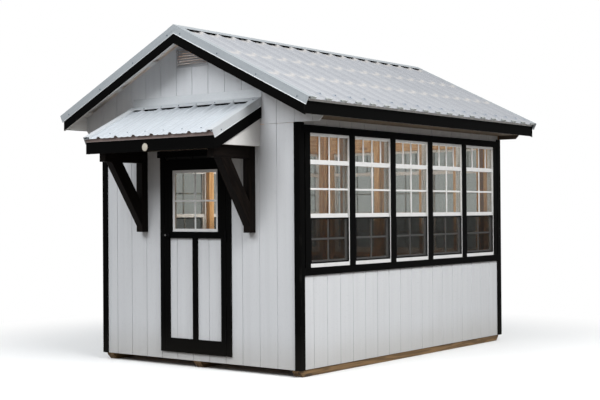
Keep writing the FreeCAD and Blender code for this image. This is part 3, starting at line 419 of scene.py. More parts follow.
def purlin_corners():
    """Corners of each purlin: twelve triangles make one box."""
    mesh = frame["nodes"]["roof_purlins"].data
    corners = [mesh.vertices[v].co for face in mesh.polygons for v in face.vertices]
    return [corners[i:i + BOX_CORNERS] for i in range(0, len(corners), BOX_CORNERS)]


def purlin_spacing():
    """Places of the first and last purlin on the right slope, level from the ridge, and their spacing."""
    centres = sorted(sum(c.x for c in spots) / len(spots) for spots in purlin_corners() if spots[0].x > 0)
    return centres[0], centres[-1], (centres[-1] - centres[0]) / (len(centres) - 1)


def eave_screws():
    """How far out the lowest row of roof screws lies, its first screw along the eave and their spacing."""
    front, back = (corner.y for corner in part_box("roof_sheets"))
    corners = [vert.co for vert in frame["nodes"]["roof_screws"].data.vertices]
    spots = [spot for spot in corners if front + SCREW_REACH < spot.y < back - SCREW_REACH]
    row = max(spot.x for spot in spots)
    along = sorted({round(spot.y, 3) for spot in spots if spot.x > row - SCREW_REACH})
    starts = [place for before, place in zip([-math.inf] + along, along) if place - before > SCREW_REACH]
    return row, starts[0] + SCREW_HALF, (starts[-1] - starts[0]) / (len(starts) - 1)


print("purlins, first, last and spacing:", [round(value, 4) for value in purlin_spacing()])
print("eave screws, row, first and spacing:", [round(value, 4) for value in eave_screws()])

# %% [markdown]
# The marks and bands come at even steps, so each is a sine wave along the slope or along the eave, cut off
# below zero and raised to a power: the higher the power, the narrower the peaks. A picture could hold the
# same marks, but a wave stays sharp close up and follows the model if the spacing changes.

# %% Roofing metal
CROWN_STEP = 0.053
MARK_REACH, MARK_NARROW, MARK_SHARE = (0.03, 0.012), 12.0, 0.8
BAND_FADE, BAND_NARROW, BAND_SHARE = (0.3, 0.6), 14.0, 0.35


def peaks(place, first, spacing, narrow):
    """1 at every spacing from the first place, and 0 over most of the way between."""
    turn = (place - first) * (2 * math.pi / spacing) + math.pi / 2
    return turn.sine().at_least(0.0) ** narrow


def painted_shade_round_crown_screws(finish, across, colour):
    """Painted shade: bluish marks along the eaves, on the crown of each rib, round the crown screws."""
    row, first, spacing = eave_screws()
    marks = peaks(axis_of(finish, here(finish), "Y"), first - CROWN_STEP, spacing, MARK_NARROW)
    near = fade(finish, abs(across - row), *MARK_REACH)
    return mix(finish, marks * near * MARK_SHARE, colour, paint(96, 112, 130))


def purlin_painted_highlights(finish, across, colour):
    """Painted highlight: paler bands over the purlins, but none on the lowest one."""
    first, last, spacing = purlin_spacing()
    upper = fade(finish, across, *(last - spacing * share for share in BAND_FADE))
    bands = peaks(across, first, spacing, BAND_NARROW)
    return mix(finish, bands * upper * BAND_SHARE, colour, paint(206, 198, 188))


def sheet_metal(name, bright, dull, metallic, roughness, bands=False):
    finish = Finish(name)
    # Painted shade: the flanks of the ribs, marked by the edge attribute, take this darker colour.
    grime_and_painted_shade = tuple(0.72 * share for share in dull[:3]) + (1.0,)
    board = attribute(finish, "board", "Vector")
    crystal = red_of(finish, cells(finish, here(finish), 90.0, "Color"))
    streaks = noise(finish, stretched(finish, board, (0.9, 34.0, 34.0)), 1.0, 4.0)
    clouds = noise(finish, here(finish), 2.3, 4.0)
    tone = fade(finish, streaks * 0.45 + clouds * 0.45 + crystal * 0.1, 0.25, 0.8)
    colour = mix(finish, attribute(finish, "edge", "Fac") * 0.45, mix(finish, tone, bright, dull), grime_and_painted_shade)
    # On the roof only: a painted highlight over the purlins and painted shade round the eave screws.
    if bands:
        across = abs(axis_of(finish, here(finish), "X"))
        # The bluish eave marks are painted shade.
        colour = painted_shade_round_crown_screws(finish, across, purlin_painted_highlights(finish, across, colour))
    gloss = roughness + 0.12 * crystal + 0.1 * streaks
    return finish.set(base_color=colour, metallic=metallic, roughness=gloss,
                      normal=relief(finish, clouds * 0.9 + crystal * 0.04, 0.0008))


roof_steel = sheet_metal("roof_metal", paint(167, 169, 173), paint(151, 153, 158), 0.2, 0.42, bands=True)
# Painted light: the canopy sheet and its trim are the roof's coat painted paler, for the light they catch.
canopy_steel_painted_light = sheet_metal("canopy_metal", paint(188, 193, 198), paint(180, 186, 192), 0.15, 0.46)
bent_trim = sheet_metal("trim_metal", paint(157, 163, 167), paint(145, 151, 156), 0.3, 0.42)
canopy_trim_painted_light = sheet_metal("canopy_trim_metal", paint(196, 200, 203), paint(184, 188, 192), 0.25, 0.42)
# Painted highlight: the hem rods are paler than the trim metal they belong to.
hem_painted_highlight = sheet_metal("hem_metal", paint(214, 217, 219), paint(200, 203, 206), 0.2, 0.34)
# Painted light on the eave drip and painted shade on the canopy drip, both apart from the trim's own coat.
eave_drip_painted_highlight = sheet_metal("eave_drip_metal", paint(242, 243, 243), paint(228, 229, 230), 0.1, 0.4)
drip_trim_painted_shade = sheet_metal("drip_metal", paint(136, 120, 116), paint(118, 102, 98), 0.2, 0.45)
screw_steel = sheet_metal("screw_metal", paint(84, 98, 114), paint(62, 72, 84), 0.1, 0.5)
list_finishes(roof_steel, canopy_steel_painted_light, bent_trim, canopy_trim_painted_light)
list_finishes(hem_painted_highlight, eave_drip_painted_highlight, drip_trim_painted_shade, screw_steel)

# %% [markdown]
# ## Vinyl, vent plastic, plate paint and foam
# Window frames and door lights are extruded white vinyl: smooth, faintly wavy along each length, with
# patches of dust. The vent is a grey moulded plastic of the same family. The painted plate, the smooth
# panels, the sheet's primer and the grey foam are as plain, so one recipe with other colours serves them
# all.

# %% Plain smooth finishes
def moulded(name, clean, dusty, roughness, shine=0.5):
    finish = Finish(name)
    board = attribute(finish, "board", "Vector")
    waves = noise(finish, stretched(finish, board, (1.5, 40.0, 40.0)), 1.0, 2.0)
    grime_and_painted_shade = noise(finish, here(finish), 14.0, 5.0)
    fine = noise(finish, here(finish), 700.0, 2.0)
    colour = mix(finish, fade(finish, grime_and_painted_shade, 0.5, 0.8) * 0.5, clean, dusty)
    return finish.set(base_color=colour, roughness=roughness + 0.18 * grime_and_painted_shade, specular_ior_level=shine,
                      normal=relief(finish, waves + fine * 0.12, 0.0005))


white_vinyl = moulded("window_vinyl", paint(222, 222, 222), paint(202, 201, 197), 0.3)
vent_plastic = moulded("vent_plastic", paint(172, 174, 178), paint(154, 156, 160), 0.5)
plate_enamel = moulded("plate_paint", paint(192, 186, 172), paint(160, 150, 130), 0.4)
smooth_panels = moulded("panel_paint", paint(214, 213, 211), paint(202, 200, 196), 0.5, 0.08)
# Painted shade: the soffits under the eaves are a dark brown for the shade they lie in.
eave_panels_painted_shade = moulded("soffit_painted_shade", paint(96, 84, 70), paint(82, 71, 58), 0.55, 0.08)
# Painted shade: the eave plugs are grey for the shade inside the rib ends.
rib_foam_painted_shade = moulded("rib_foam_painted_shade", paint(172, 176, 174), paint(154, 158, 156), 0.7, 0.08)
pale_primer = moulded("sheet_primer", paint(226, 226, 226), paint(208, 207, 204), 0.5, 0.1)
list_finishes(white_vinyl, vent_plastic, plate_enamel, smooth_panels, eave_panels_painted_shade, rib_foam_painted_shade, pale_primer)

# %% [markdown]
# ## Hardware metals
# Hinges and handle are black-coated steel, a little paler where hands and knuckles rub. The key cylinder
# is plated, with fine turning marks on its face.

# %% Hardware
def coated_steel(name, coat, bare, roughness):
    finish = Finish(name)
    worn = attribute(finish, "edge", "Fac")
    grain = noise(finish, here(finish), 900.0, 2.0)
    patches = noise(finish, here(finish), 38.0, 4.0)
    rubbed = worn * fade(finish, patches, 0.4, 0.62)
    return finish.set(base_color=mix(finish, rubbed, coat, bare), metallic=0.3 * rubbed,
                      roughness=roughness + 0.2 * grain, specular_ior_level=0.03,
                      normal=relief(finish, grain, 0.00015))


def plated(name, bright, dull):
    finish = Finish(name)
    turned = noise(finish, stretched(finish, here(finish), (1400.0, 30.0, 1400.0)), 1.0, 2.0)
    smudges = noise(finish, here(finish), 90.0, 3.0)
    return finish.set(base_color=mix(finish, smudges, bright, dull), metallic=1.0,
                      roughness=0.3 + 0.2 * turned, normal=relief(finish, turned, 0.0001))


black_hinge = coated_steel("hinge_metal", paint(10, 10, 11), paint(40, 39, 38), 0.5)
black_handle = coated_steel("handle_metal", paint(10, 10, 11), paint(44, 43, 42), 0.5)
lock_plating = plated("lock_metal", paint(104, 104, 103), paint(70, 70, 69))
list_finishes(black_hinge, black_handle, lock_plating)

# %% [markdown]
# ## Glass and insect screen
# A pane lets light straight through and mirrors more of the sky at a glancing angle, so it mixes clear and
# mirror shaders by Layer Weight, with a breath of dust. The clear one is tinted grey, which also calms the
# white studio behind the far windows. The screen is woven dark fibre: its threads cross in two sine waves
# and its alpha follows them gently.

# %% Glass and screen
THREAD_PITCH = 0.0016


def window_pane():
    finish = Finish("clear_glass")
    dust = noise(finish, here(finish), 5.0, 5.0)
    finish.set(base_color=(0.86, 0.9, 0.9, 1.0), metallic=1.0, roughness=0.03 + 0.05 * dust)
    grazing = finish.node("ShaderNodeLayerWeight", None, {"Blend": 0.2}, "Fresnel")
    share = grazing * 0.16 + 0.005 * dust
    clear = finish.node("ShaderNodeBsdfTransparent", None, {"Color": (0.685, 0.694, 0.682, 1.0)})
    mirror = Wire(finish, finish.shader.outputs[0])
    both = finish.node("ShaderNodeMixShader", None, {0: share, 1: clear, 2: mirror})
    finish.feed(finish.output.inputs["Surface"], both)
    return finish.material


def screen_weave():
    finish = Finish("screen_mesh")
    turns = 2 * math.pi / THREAD_PITCH
    spot = here(finish)
    across = ((axis_of(finish, spot, "X") + axis_of(finish, spot, "Y")) * turns).sine()
    upward = (axis_of(finish, spot, "Z") * turns).sine()
    weave = across.at_least(upward) * 0.5 + 0.5
    dust = noise(finish, spot, 16.0, 5.0)
    colour = mix(finish, dust * 0.5 + weave * 0.3, paint(13, 13, 12), paint(34, 32, 30))
    return finish.set(base_color=colour, roughness=0.7, specular_ior_level=0.04,
                      alpha=0.56 + 0.14 * weave + 0.08 * dust)


clear_pane = window_pane()
dark_screen = screen_weave()
list_finishes(clear_pane, dark_screen)

# %% [markdown]
# ## Dressing a piece
# A construction mesh arrives as loose triangles with razor edges. A copy is sorted into its solids by
# walking the triangles until every edge has met its partner, merged solid by solid so that boards which
# only touch stay apart, and its flat faces are joined. Then sharp edges are eased, as a plane or paint
# would ease them.

# %% Merge and ease
SHARP, FLAT = math.radians(30), math.radians(0.5)
STEPS_PER_METRE, SAME_SPOT = 1e5, 2e-5


def merge_solids(bm):
    """Merge the corners of each solid on its own, then join the triangles of flat faces."""
    waiting = set()
    solid = set()
    solids = []
    for face in bm.faces:
        spots = [tuple(round(value * STEPS_PER_METRE) for value in vert.co) for vert in face.verts]
        solid.update(face.verts)
        for pair in zip(spots, spots[1:] + spots[:1]):
            if pair[::-1] in waiting:
                waiting.remove(pair[::-1])
            else:
                waiting.add(pair)
        if not waiting:
            solids.append(solid)
            solid = set()
    if solid:
        solids.append(solid)
    for verts in solids:
        bmesh.ops.remove_doubles(bm, verts=list(verts), dist=SAME_SPOT)
    bmesh.ops.dissolve_limit(bm, angle_limit=FLAT, verts=bm.verts, edges=bm.edges)


def ease_edges(bm, width, low=SHARP, high=math.pi):
    """Round the edges whose faces turn by an angle between low and high, and mark the new faces."""
    mark = bm.faces.layers.float.new("edge")
    edges = [e for e in bm.edges if e.is_manifold and low < e.calc_face_angle(0.0) < high]
    if width and edges:
        eased = bmesh.ops.bevel(bm, geom=edges, offset=width, offset_type="OFFSET", affect="EDGES",
                                segments=2, profile=0.5, material=-1, clamp_overlap=True)
        for face in eased["faces"]:
            face[mark] = 1.0


print("edge tools ready")

# %% [markdown]
# Each solid then gets its own coordinates: along its longest edge, across it and through it, shifted by a
# seeded random amount so that no two boards share their grain. A tone per board keeps them from matching.
# The boards are met in an order that can change from one run to the next, and a board's grain and tone can
# change with it.

# %% Give each board its grain
NEARLY_SQUARE, SHIFT_MOST = 0.1, 40


def islands(bm):
    """Faces of each connected solid."""
    left = set(bm.faces)
    for face in bm.faces:
        if face not in left:
            continue
        left.discard(face)
        solid, to_visit = [face], [face]
        while to_visit:
            for edge in to_visit.pop().edges:
                for near in edge.link_faces:
                    if near in left:
                        left.discard(near)
                        solid.append(near)
                        to_visit.append(near)
        yield solid


def grain_axes(solid):
    """Directions along, across and through one solid."""
    longest = max((e for face in solid for e in face.edges), key=lambda e: e.calc_length())
    along = (longest.verts[1].co - longest.verts[0].co).normalized()
    flats = [face for face in solid if abs(face.normal.dot(along)) < NEARLY_SQUARE] or solid
    through = max(flats, key=lambda face: face.calc_area()).normal
    across = through.cross(along).normalized()
    return along, across, along.cross(across)


def give_grain(bm, seed):
    """Store each solid's own coordinates and tone on its corners."""
    board = bm.verts.layers.float_vector.new("board")
    tone = bm.verts.layers.float.new("tone")
    luck = random.Random(seed)
    for solid in islands(bm):
        axes = grain_axes(solid)
        shift = Vector([luck.uniform(0, SHIFT_MOST) for axis in axes])
        shade = luck.random()
        for vert in {vert for face in solid for vert in face.verts}:
            vert[board] = Vector([vert.co.dot(axis) for axis in axes]) + shift
            vert[tone] = shade


print("grain tools ready")

# %% [markdown]
# A finished mesh stands in for its construction node: it rides with the same body, hides the plain solid
# and names the finish it takes. Faces that weren't painted, such as those that look into the shed, can
# have a second finish, picked by a small test of where each face lies and which way it looks.

# %% Put a dressed piece in place
SQUARE_ON, BROAD = 0.9, 0.05


def place_piece(bm, name, node, finishes):
    """Turn a finished mesh into a piece that rides with the body of the node it stands for."""
    mesh = bpy.data.meshes.new(name)
    bm.to_mesh(mesh)
    bm.free()
    for finish in finishes:
        mesh.materials.append(finish)
    piece = bpy.data.objects.new(name, mesh)
    bpy.context.scene.collection.objects.link(piece)
    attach(piece, frame["nodes"][node]["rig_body"])
    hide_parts(node)
    return piece


def place_made(bm, seed, name, node, finish):
    """Give a mesh that was made from nothing its grain, and put it in place."""
    bm.faces.layers.float.new("edge")
    give_grain(bm, seed)
    return place_piece(bm, name, node, [finish])


def copy_of(node):
    bm = bmesh.new()
    bm.from_mesh(frame["nodes"][node].data)
    merge_solids(bm)
    return bm


def solids_of(node):
    """Faces of each solid in a construction node, one solid at a time."""
    bm = copy_of(node)
    yield from islands(bm)
    bm.free()


def looks_indoors(face):
    """True for a broad upright face that looks towards the middle of the shed."""
    spot = face.calc_center_median()
    level = [abs(face.normal[i]) > SQUARE_ON and face.normal[i] * spot[i] < 0 for i in (0, 1)]
    return any(level) and face.calc_area() > BROAD


def dress(nodes, finish, width, rounded=False, hidden=None, is_hidden=looks_indoors):
    """Dress nodes with eased edges, grain and a finish, and a second finish where is_hidden says so."""
    for node in nodes:
        bm = copy_of(node)
        ease_edges(bm, width)
        give_grain(bm, node)
        for face in bm.faces:
            face.smooth = rounded
            face.material_index = 1 if hidden and is_hidden(face) else 0
        for edge in bm.edges:
            edge.smooth = edge.calc_face_angle(0.0) < SHARP
        place_piece(bm, node + "_piece", node, [finish, hidden] if hidden else [finish])
    print("dressed", ", ".join(nodes))


print("dressing tools ready")

# %% [markdown]
# ## Floor, frame and roof timbers
# These are sawn and square, eased a millimetre or two at the mill. They show through the glass and the
# open door, and the purlin ends show white under the rake.

# %% Timbers
SKID_EDGE, DECK_EDGE, SAWN_EDGE, PURLIN_EDGE = 0.003, 0.001, 0.002, 0.0012

dress(["skids"], treated_skids, SKID_EDGE)
dress(["floor_deck"], floor_plywood, DECK_EDGE)
dress(["floor_joists", "wall_framing", "roof_rafters", "canopy_frame", "door_frame"],
      pale_framing, SAWN_EDGE)
dress(["roof_purlins"], white_boards, PURLIN_EDGE)

# %% [markdown]
# ## Siding and boards
# Siding keeps the grooves of its construction model, with their lips eased. The black boards are planed,
# and the bracket timbers are heavier, so their edges are rounder. Fascia and rake boards were painted
# white before they went up, so their backs and lower edges are still white. The soffits under the eaves
# are painted dark brown as painted shade, and those of the canopy are pale.

# %% Siding and boards
SIDING_EDGE, PLANED_EDGE, PANEL_EDGE, BRACKET_EDGE, VENT_EDGE = 0.001, 0.0018, 0.0012, 0.004, 0.0006
EAVE_SHORTEST = 1.0
LOOKS_DOWN, LEANS_SIDEWAYS = -0.5, 0.2


def along_eave(face):
    """True for the broad underside of a soffit that runs the length of an eave."""
    return face.normal.z < -SQUARE_ON and max(e.calc_length() for e in face.edges) > EAVE_SHORTEST


def behind_fascia(face):
    """True for the back of a fascia or rake board, and for the sloping lower edge of a rake board."""
    slopes_down = face.normal.z < LOOKS_DOWN and abs(face.normal.x) > LEANS_SIDEWAYS
    return looks_indoors(face) or slopes_down


# The front and back walls carry the painted shade above the door.
dress(["siding_ends"], siding_with_painted_shade, SIDING_EDGE, hidden=bare_back)
dress(["siding_sides", "door_panel"], painted_siding, SIDING_EDGE, hidden=bare_back)
dress(["wall_trim", "canopy_fascia", "door_trim", "door_casing"], black_boards, PLANED_EDGE)
dress(["fascia_boards"], black_boards, PLANED_EDGE,
      hidden=white_boards, is_hidden=behind_fascia)
# The eave soffits take the painted shade, and the canopy's panels stay pale.
dress(["soffit_panels"], smooth_panels, PANEL_EDGE,
      hidden=eave_panels_painted_shade, is_hidden=along_eave)
dress(["canopy_brackets"], bracket_stain_timber, BRACKET_EDGE)
dress(["gable_vents"], vent_plastic, VENT_EDGE)

# %% [markdown]
# A door needs something to close against. Stops stand on the studs at both sides, and one more strip under
# the header shuts out the daylight above the door. It is a planed strip, so a cube is sized and eased.

# %% Head stop
HEAD_STOP_DROP, HEAD_STOP_DEEP = 0.0605, 0.045
HEAD_STOP_THICK, HEAD_STOP_INSET, HEAD_STOP_EDGE = 0.018, 0.1065, 0.0015


def hang_head_stop():
    low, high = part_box("door_casing")
    size = Vector((high.x - low.x - 2 * HEAD_STOP_INSET, HEAD_STOP_THICK, HEAD_STOP_DEEP))
    middle = Vector(((low.x + high.x) / 2, high.y - HEAD_STOP_THICK / 2,
                     high.z - HEAD_STOP_DROP - HEAD_STOP_DEEP / 2))
    strip = bmesh.new()
    bmesh.ops.create_cube(strip, size=1.0, matrix=Matrix.Translation(middle) @ Matrix.Diagonal((*size, 1.0)))
    ease_edges(strip, HEAD_STOP_EDGE)
    give_grain(strip, "head_stop")
    place_piece(strip, "door_head_stop", "door_casing", [black_boards])
    print("hung the head stop", round(size.x, 3), "m long")


hang_head_stop()

# %% [markdown]
# ## Windows, door light and glass
# Vinyl comes off its die with small radii. Panes are left sharp, because their edges are buried in the
# frame.

# %% Windows
VINYL_EDGE, LEFT_SHARP = 0.0012, 0.0

sashes = [node for node in frame["nodes"] if node.startswith("sash_") and "glass" not in node]
sash_panes = [node for node in frame["nodes"] if node.startswith("sash_glass")]
dress(["window_frames", "door_glass_frame"] + sashes, white_vinyl, VINYL_EDGE)
dress(["window_glass", "door_glass"] + sash_panes, clear_pane, LEFT_SHARP)

# %% [markdown]
# ## Hinges, handle, lock and plate
# Round hardware is shaded smooth between its sharp edges. The plate on the fascia is left blank.

# %% Hardware pieces
HINGE_EDGE, LOCK_EDGE, PLATE_EDGE = 0.0003, 0.0008, 0.0025

dress(["hinge_leaves_wall", "hinge_leaves_door"], black_hinge, HINGE_EDGE, rounded=True)
dress(["latch_handle"], black_handle, LEFT_SHARP, rounded=True)
dress(["lock_cylinder"], lock_plating, LOCK_EDGE, rounded=True)
dress(["fascia_plate"], plate_enamel, PLATE_EDGE, rounded=True)

# %% [markdown]
# ## Ribbed sheets and bent trim
# Rolled sheet bends on a radius, so only its long bends are rounded and the cut edges stay thin and sharp.
# Its underside has a pale primer. The drip edge along the eaves is painted near white, as painted light,
# and the one across the front of the canopy brown, as painted shade.

# %% Sheets and trim
BEND_LOW, BEND_HIGH = math.radians(10), math.radians(80)
SHEET_BEND, TRIM_EDGE = 0.0025, 0.0004
LOOKS_UP, FLANK_LEAN, UPRIGHT = 0.3, 0.15, 0.95
DRIP_REACH = 0.1


def sheet_axes(solid):
    """A sheet's outward direction, its downhill direction and the direction along its row of ribs."""
    tops = [face for face in solid if face.normal.z > LOOKS_UP]
    up = max(tops, key=lambda face: face.calc_area()).normal.copy()
    level = Vector((up.x, up.y, 0.0)).normalized()
    downhill = (level - up * level.dot(up)).normalized()
    return up, downhill, up.cross(downhill)


def dress_sheet(node, finish, radius):
    bm = copy_of(node)
    ease_edges(bm, radius, BEND_LOW, BEND_HIGH)
    give_grain(bm, node)
    # Every flank of a rib is marked, so that the finish paints shade on it.
    mark = bm.faces.layers.float["edge"]
    for solid in islands(bm):
        up, _, along = sheet_axes(solid)
        for face in solid:
            face[mark] = 1.0 if abs(face.normal.dot(along)) > FLANK_LEAN else 0.0
            face.material_index = 1 if face.normal.dot(up) < -LOOKS_UP else 0
    place_piece(bm, node + "_piece", node, [finish, pale_primer])
    print("rolled", node)


def is_eave_drip(face):
    """True for the upright face of the drip edge along an eave."""
    return abs(face.normal.x) > UPRIGHT


def is_canopy_drip(face):
    """True for the upright face of the drip edge along the front of the canopy."""
    return face.normal.y < -UPRIGHT and face.calc_center_median().y < cad_box[0].y + DRIP_REACH


dress_sheet("roof_sheets", roof_steel, SHEET_BEND)
# The canopy sheet and trim take the paler, painted-light copies of the roof metal.
dress_sheet("canopy_sheet", canopy_steel_painted_light, SHEET_BEND)
dress(["roof_flashing"], bent_trim, TRIM_EDGE, hidden=eave_drip_painted_highlight, is_hidden=is_eave_drip)
dress(["canopy_flashing"], canopy_trim_painted_light, TRIM_EDGE, hidden=drip_trim_painted_shade, is_hidden=is_canopy_drip)

# %% [markdown]
# The lower edge of each rake trim is folded back on itself into a rounded hem. A slim rod just above that
# edge stands for the fold, painted paler than the trim as a painted highlight along the fold. The edge is
# found in the construction model: it is the lowest long sloping edge of each trim piece, on the side away
# from the shed.

# %% Hems
HEM_RADIUS = 0.0035
HEM_SLOPE = (0.3, 0.7)
HEM_SHORTEST = 0.5


def hem_edges(node):
    """Ends of the lowest outer sloping edge of every rake trim in a node."""
    for solid in solids_of(node):
        sloping = []
        for edge in {edge for face in solid for edge in face.edges}:
            low, high = sorted((vert.co.copy() for vert in edge.verts), key=lambda spot: spot.z)
            rise = (high - low).normalized().z
            if (high - low).length > HEM_SHORTEST and HEM_SLOPE[0] < rise < HEM_SLOPE[1]:
                sloping.append((low, high))
        if sloping:
            lowest = min(low.z for low, high in sloping)
            outer = [ends for ends in sloping if ends[0].z < lowest + HEM_RADIUS]
            yield max(outer, key=lambda ends: ends[0].xy.length)


def lay_hems(node):
    bm = bmesh.new()
    for low, high in hem_edges(node):
        way = high - low
        middle = (low + high) / 2 + Vector((0.0, 0.0, HEM_RADIUS))
        place = Matrix.Translation(middle) @ way.to_track_quat("Z", "X").to_matrix().to_4x4()
        bmesh.ops.create_cone(bm, cap_ends=True, segments=8, radius1=HEM_RADIUS, radius2=HEM_RADIUS,
                              depth=way.length, matrix=place)
    place_made(bm, node + "_hems", node + "_hems", node, hem_painted_highlight)
    print("hems on", node)


lay_hems("roof_flashing")
lay_hems("canopy_flashing")

# %% [markdown]
# Under the ridge cap and the wall flashing, the space between two ribs is stopped with a strip of black
# foam, cut to the slopes of the ribs. The ribs are found as the highest lines of the sheet, and each strip
# is a block with a wider top, set a little way back under the edge of the metal above it. At the eaves,
# grey plugs fill the ends of the ribs, and their grey is painted shade, the dark of the open rib ends.

# %% Foam closures
FOAM_DEEP = 0.02
FOAM_GAP = 0.0006
FOAM_SET_BACK = 0.002
RIB_FLANK, SHEET_THICK, CROWN_FLAT = 0.019, 0.0012, 0.0005
RIDGE_COVER, WALL_COVER = 0.055, 0.082


def rib_crowns(solid, up, along):
    """Lowest height, crown height, and both sides of the crown of each rib along the row."""
    verts = {vert for face in solid for vert in face.verts}
    lifts = sorted(vert.co.dot(up) for vert in verts)
    bottom, top = lifts[0], lifts[-1]
    crowns = sorted({round(vert.co.dot(along), 4) for vert in verts if vert.co.dot(up) > top - CROWN_FLAT})
    return bottom, top, [(crowns[i], crowns[i + 1]) for i in range(0, len(crowns) - 1, 2)]


def foam_block(bm, axes, low, high, spread):
    """A block from low to high along three axes, whose top is wider by spread at both ends."""
    made = bmesh.ops.create_cube(bm, size=1.0)
    middle, size = (low + high) / 2, high - low
    for vert in made["verts"]:
        spot = Vector([middle[i] + vert.co[i] * size[i] for i in range(3)])
        if vert.co.z > 0:
            spot.x += math.copysign(spread, vert.co.x)
        vert.co = axes[0] * spot.x + axes[1] * spot.y + axes[2] * spot.z


def finish_foam(foam, name, node, finish):
    bmesh.ops.recalc_face_normals(foam, faces=foam.faces)
    place_made(foam, name, name, node, finish)
    print("made", name)


def close_ribs(node, covered, plugged):
    """Foam between the ribs under a cover that reaches down the slope, and in the rib ends if plugged."""
    strips, plugs = bmesh.new(), bmesh.new()
    for solid in solids_of(node):
        up, downhill, along = sheet_axes(solid)
        bottom, top, ribs = rib_crowns(solid, up, along)
        reach = [vert.co.dot(downhill) for face in solid for vert in face.verts]
        edge = min(reach) + covered
        for left, right in zip(ribs, ribs[1:]):
            low = Vector((left[1] + RIB_FLANK, edge - FOAM_DEEP, bottom + SHEET_THICK + FOAM_GAP))
            high = Vector((right[0] - RIB_FLANK, edge, top - FOAM_GAP))
            foam_block(strips, (along, downhill, up), low, high, RIB_FLANK)
        edge = max(reach) - FOAM_SET_BACK
        for left, right in ribs if plugged else []:
            low = Vector((left - RIB_FLANK + FOAM_GAP, edge - FOAM_DEEP, bottom))
            high = Vector((right + RIB_FLANK - FOAM_GAP, edge, top - SHEET_THICK - FOAM_GAP))
            foam_block(plugs, (along, downhill, up), low, high, -RIB_FLANK)
    finish_foam(strips, node + "_closures", node, black_boards)
    if plugged:
        finish_foam(plugs, node + "_plugs", node, rib_foam_painted_shade)


close_ribs("roof_sheets", RIDGE_COVER, True)
close_ribs("canopy_sheet", WALL_COVER, False)

# %% [markdown]
# ## Roofing screws
# Each screw has a hexagonal head on a round sealing washer. There are well over a hundred, so one screw
# has only a few dozen faces, made from two low cones, and it is set at each place and tilt of the model's
# screws. Wind lifts a roof at its lower edge first, so along the eaves each rib but the first has one more
# screw in its crown.

# %% Screws
WASHER_SHARE, WASHER_TOP, HEAD_FOOT, HEAD_TOP = 0.3, 0.92, 0.66, 0.6
CROWN_RISE = 0.019


def screw_places():
    """Seat, outward axis, radius and height of every screw in the construction model."""
    middle = (cad_box[0] + cad_box[1]) / 2
    for solid in solids_of("roof_screws"):
        cap = max(solid, key=lambda face: face.calc_area())
        spots = {vert for face in solid for vert in face.verts}
        centre = sum((vert.co for vert in spots), Vector()) / len(spots)
        axis = cap.normal.normalized()
        if axis.dot(centre - middle) < 0:
            axis = -axis
        reach = max((vert.co - centre).dot(axis) for vert in spots)
        radius = max((vert.co - centre - axis * (vert.co - centre).dot(axis)).length for vert in spots)
        yield centre - axis * reach, axis, radius, 2 * reach


def with_crown_screws(places):
    """Adds a screw in the crown of each rib along the eaves, except the first rib, beside the rake trim."""
    row, first, spacing = eave_screws()
    for seat, axis, radius, tall in places:
        yield seat, axis, radius, tall
        at_eave = abs(seat.x) > row - SCREW_REACH and abs(axis.y) < NEARLY_SQUARE
        if at_eave and seat.y > first + spacing / 2:
            yield seat - Vector((0.0, CROWN_STEP, 0.0)) + axis * CROWN_RISE, axis, radius, tall


def set_screws():
    bm = bmesh.new()
    for seat, axis, radius, tall in with_crown_screws(screw_places()):
        turn = Matrix.Translation(seat) @ axis.to_track_quat("Z", "X").to_matrix().to_4x4()
        washer = tall * WASHER_SHARE
        bmesh.ops.create_cone(bm, cap_ends=True, segments=12, radius1=radius, radius2=radius * WASHER_TOP,
                              depth=washer, matrix=turn @ Matrix.Translation((0, 0, washer / 2)))
        above = Matrix.Translation((0, 0, (tall + washer) / 2))
        bmesh.ops.create_cone(bm, cap_ends=True, segments=6, radius1=radius * HEAD_FOOT,
                              radius2=radius * HEAD_TOP, depth=tall - washer, matrix=turn @ above)
    return place_made(bm, "roof_screws", "roof_screws_piece", "roof_screws", screw_steel)


screws = set_screws()
print("set", len(screws.data.polygons), "screw faces")

# %% [markdown]
# ## Insect screens
# A screen is a slim folded rim with fine mesh stretched in it. The rim is a flat sheet inset once, emptied
# and given thickness, and it is coated black like the handle. The mesh is one thin sheet, because threads
# of a fraction of a millimetre belong in the material.

# %% Screens
SCREEN_RIM, RIM_EDGE = 0.014, 0.001


def screen_boxes():
    """Lowest and highest corner of every screen in the construction model."""
    for solid in solids_of("window_screens"):
        spots = [vert.co for face in solid for vert in face.verts]
        yield [Vector([pick(spot[i] for spot in spots) for i in range(3)]) for pick in (min, max)]


def upright_sheet(bm, middle, size, across):
    """One upright face about a middle, as wide as size along an axis and as tall as size along Z."""
    turn = Matrix.Rotation(math.pi / 2, 4, "X") if across == 0 else Matrix.Rotation(math.pi / 2, 4, "Y")
    scale = Matrix.Diagonal((size[0], size.z, 1.0, 1.0) if across == 0 else (size.z, size[1], 1.0, 1.0))
    place = Matrix.Translation(middle) @ turn @ scale
    made = bmesh.ops.create_grid(bm, x_segments=1, y_segments=1, size=0.5, matrix=place)
    return list({face for vert in made["verts"] for face in vert.link_faces})


def stretch_screen(rims, webs, low, high):
    """One screen: its mesh in the middle of its thickness, and a rim inset from its outline."""
    size, middle = high - low, (low + high) / 2
    through, across = (0, 1) if size.x < size.y else (1, 0)
    upright_sheet(webs, middle, size - Vector((2 * SCREEN_RIM,) * 3), across)
    back = middle.copy()
    back[through] = low[through]
    rim = upright_sheet(rims, back, size, across)
    ring = bmesh.ops.inset_region(rims, faces=rim, thickness=SCREEN_RIM, use_boundary=True,
                                  use_even_offset=True)["faces"]
    bmesh.ops.delete(rims, geom=rim, context="FACES_ONLY")
    raised = bmesh.ops.extrude_face_region(rims, geom=ring)["geom"]
    deep = Vector([size[i] if i == through else 0.0 for i in range(3)])
    bmesh.ops.translate(rims, vec=deep, verts=[v for v in raised if isinstance(v, bmesh.types.BMVert)])


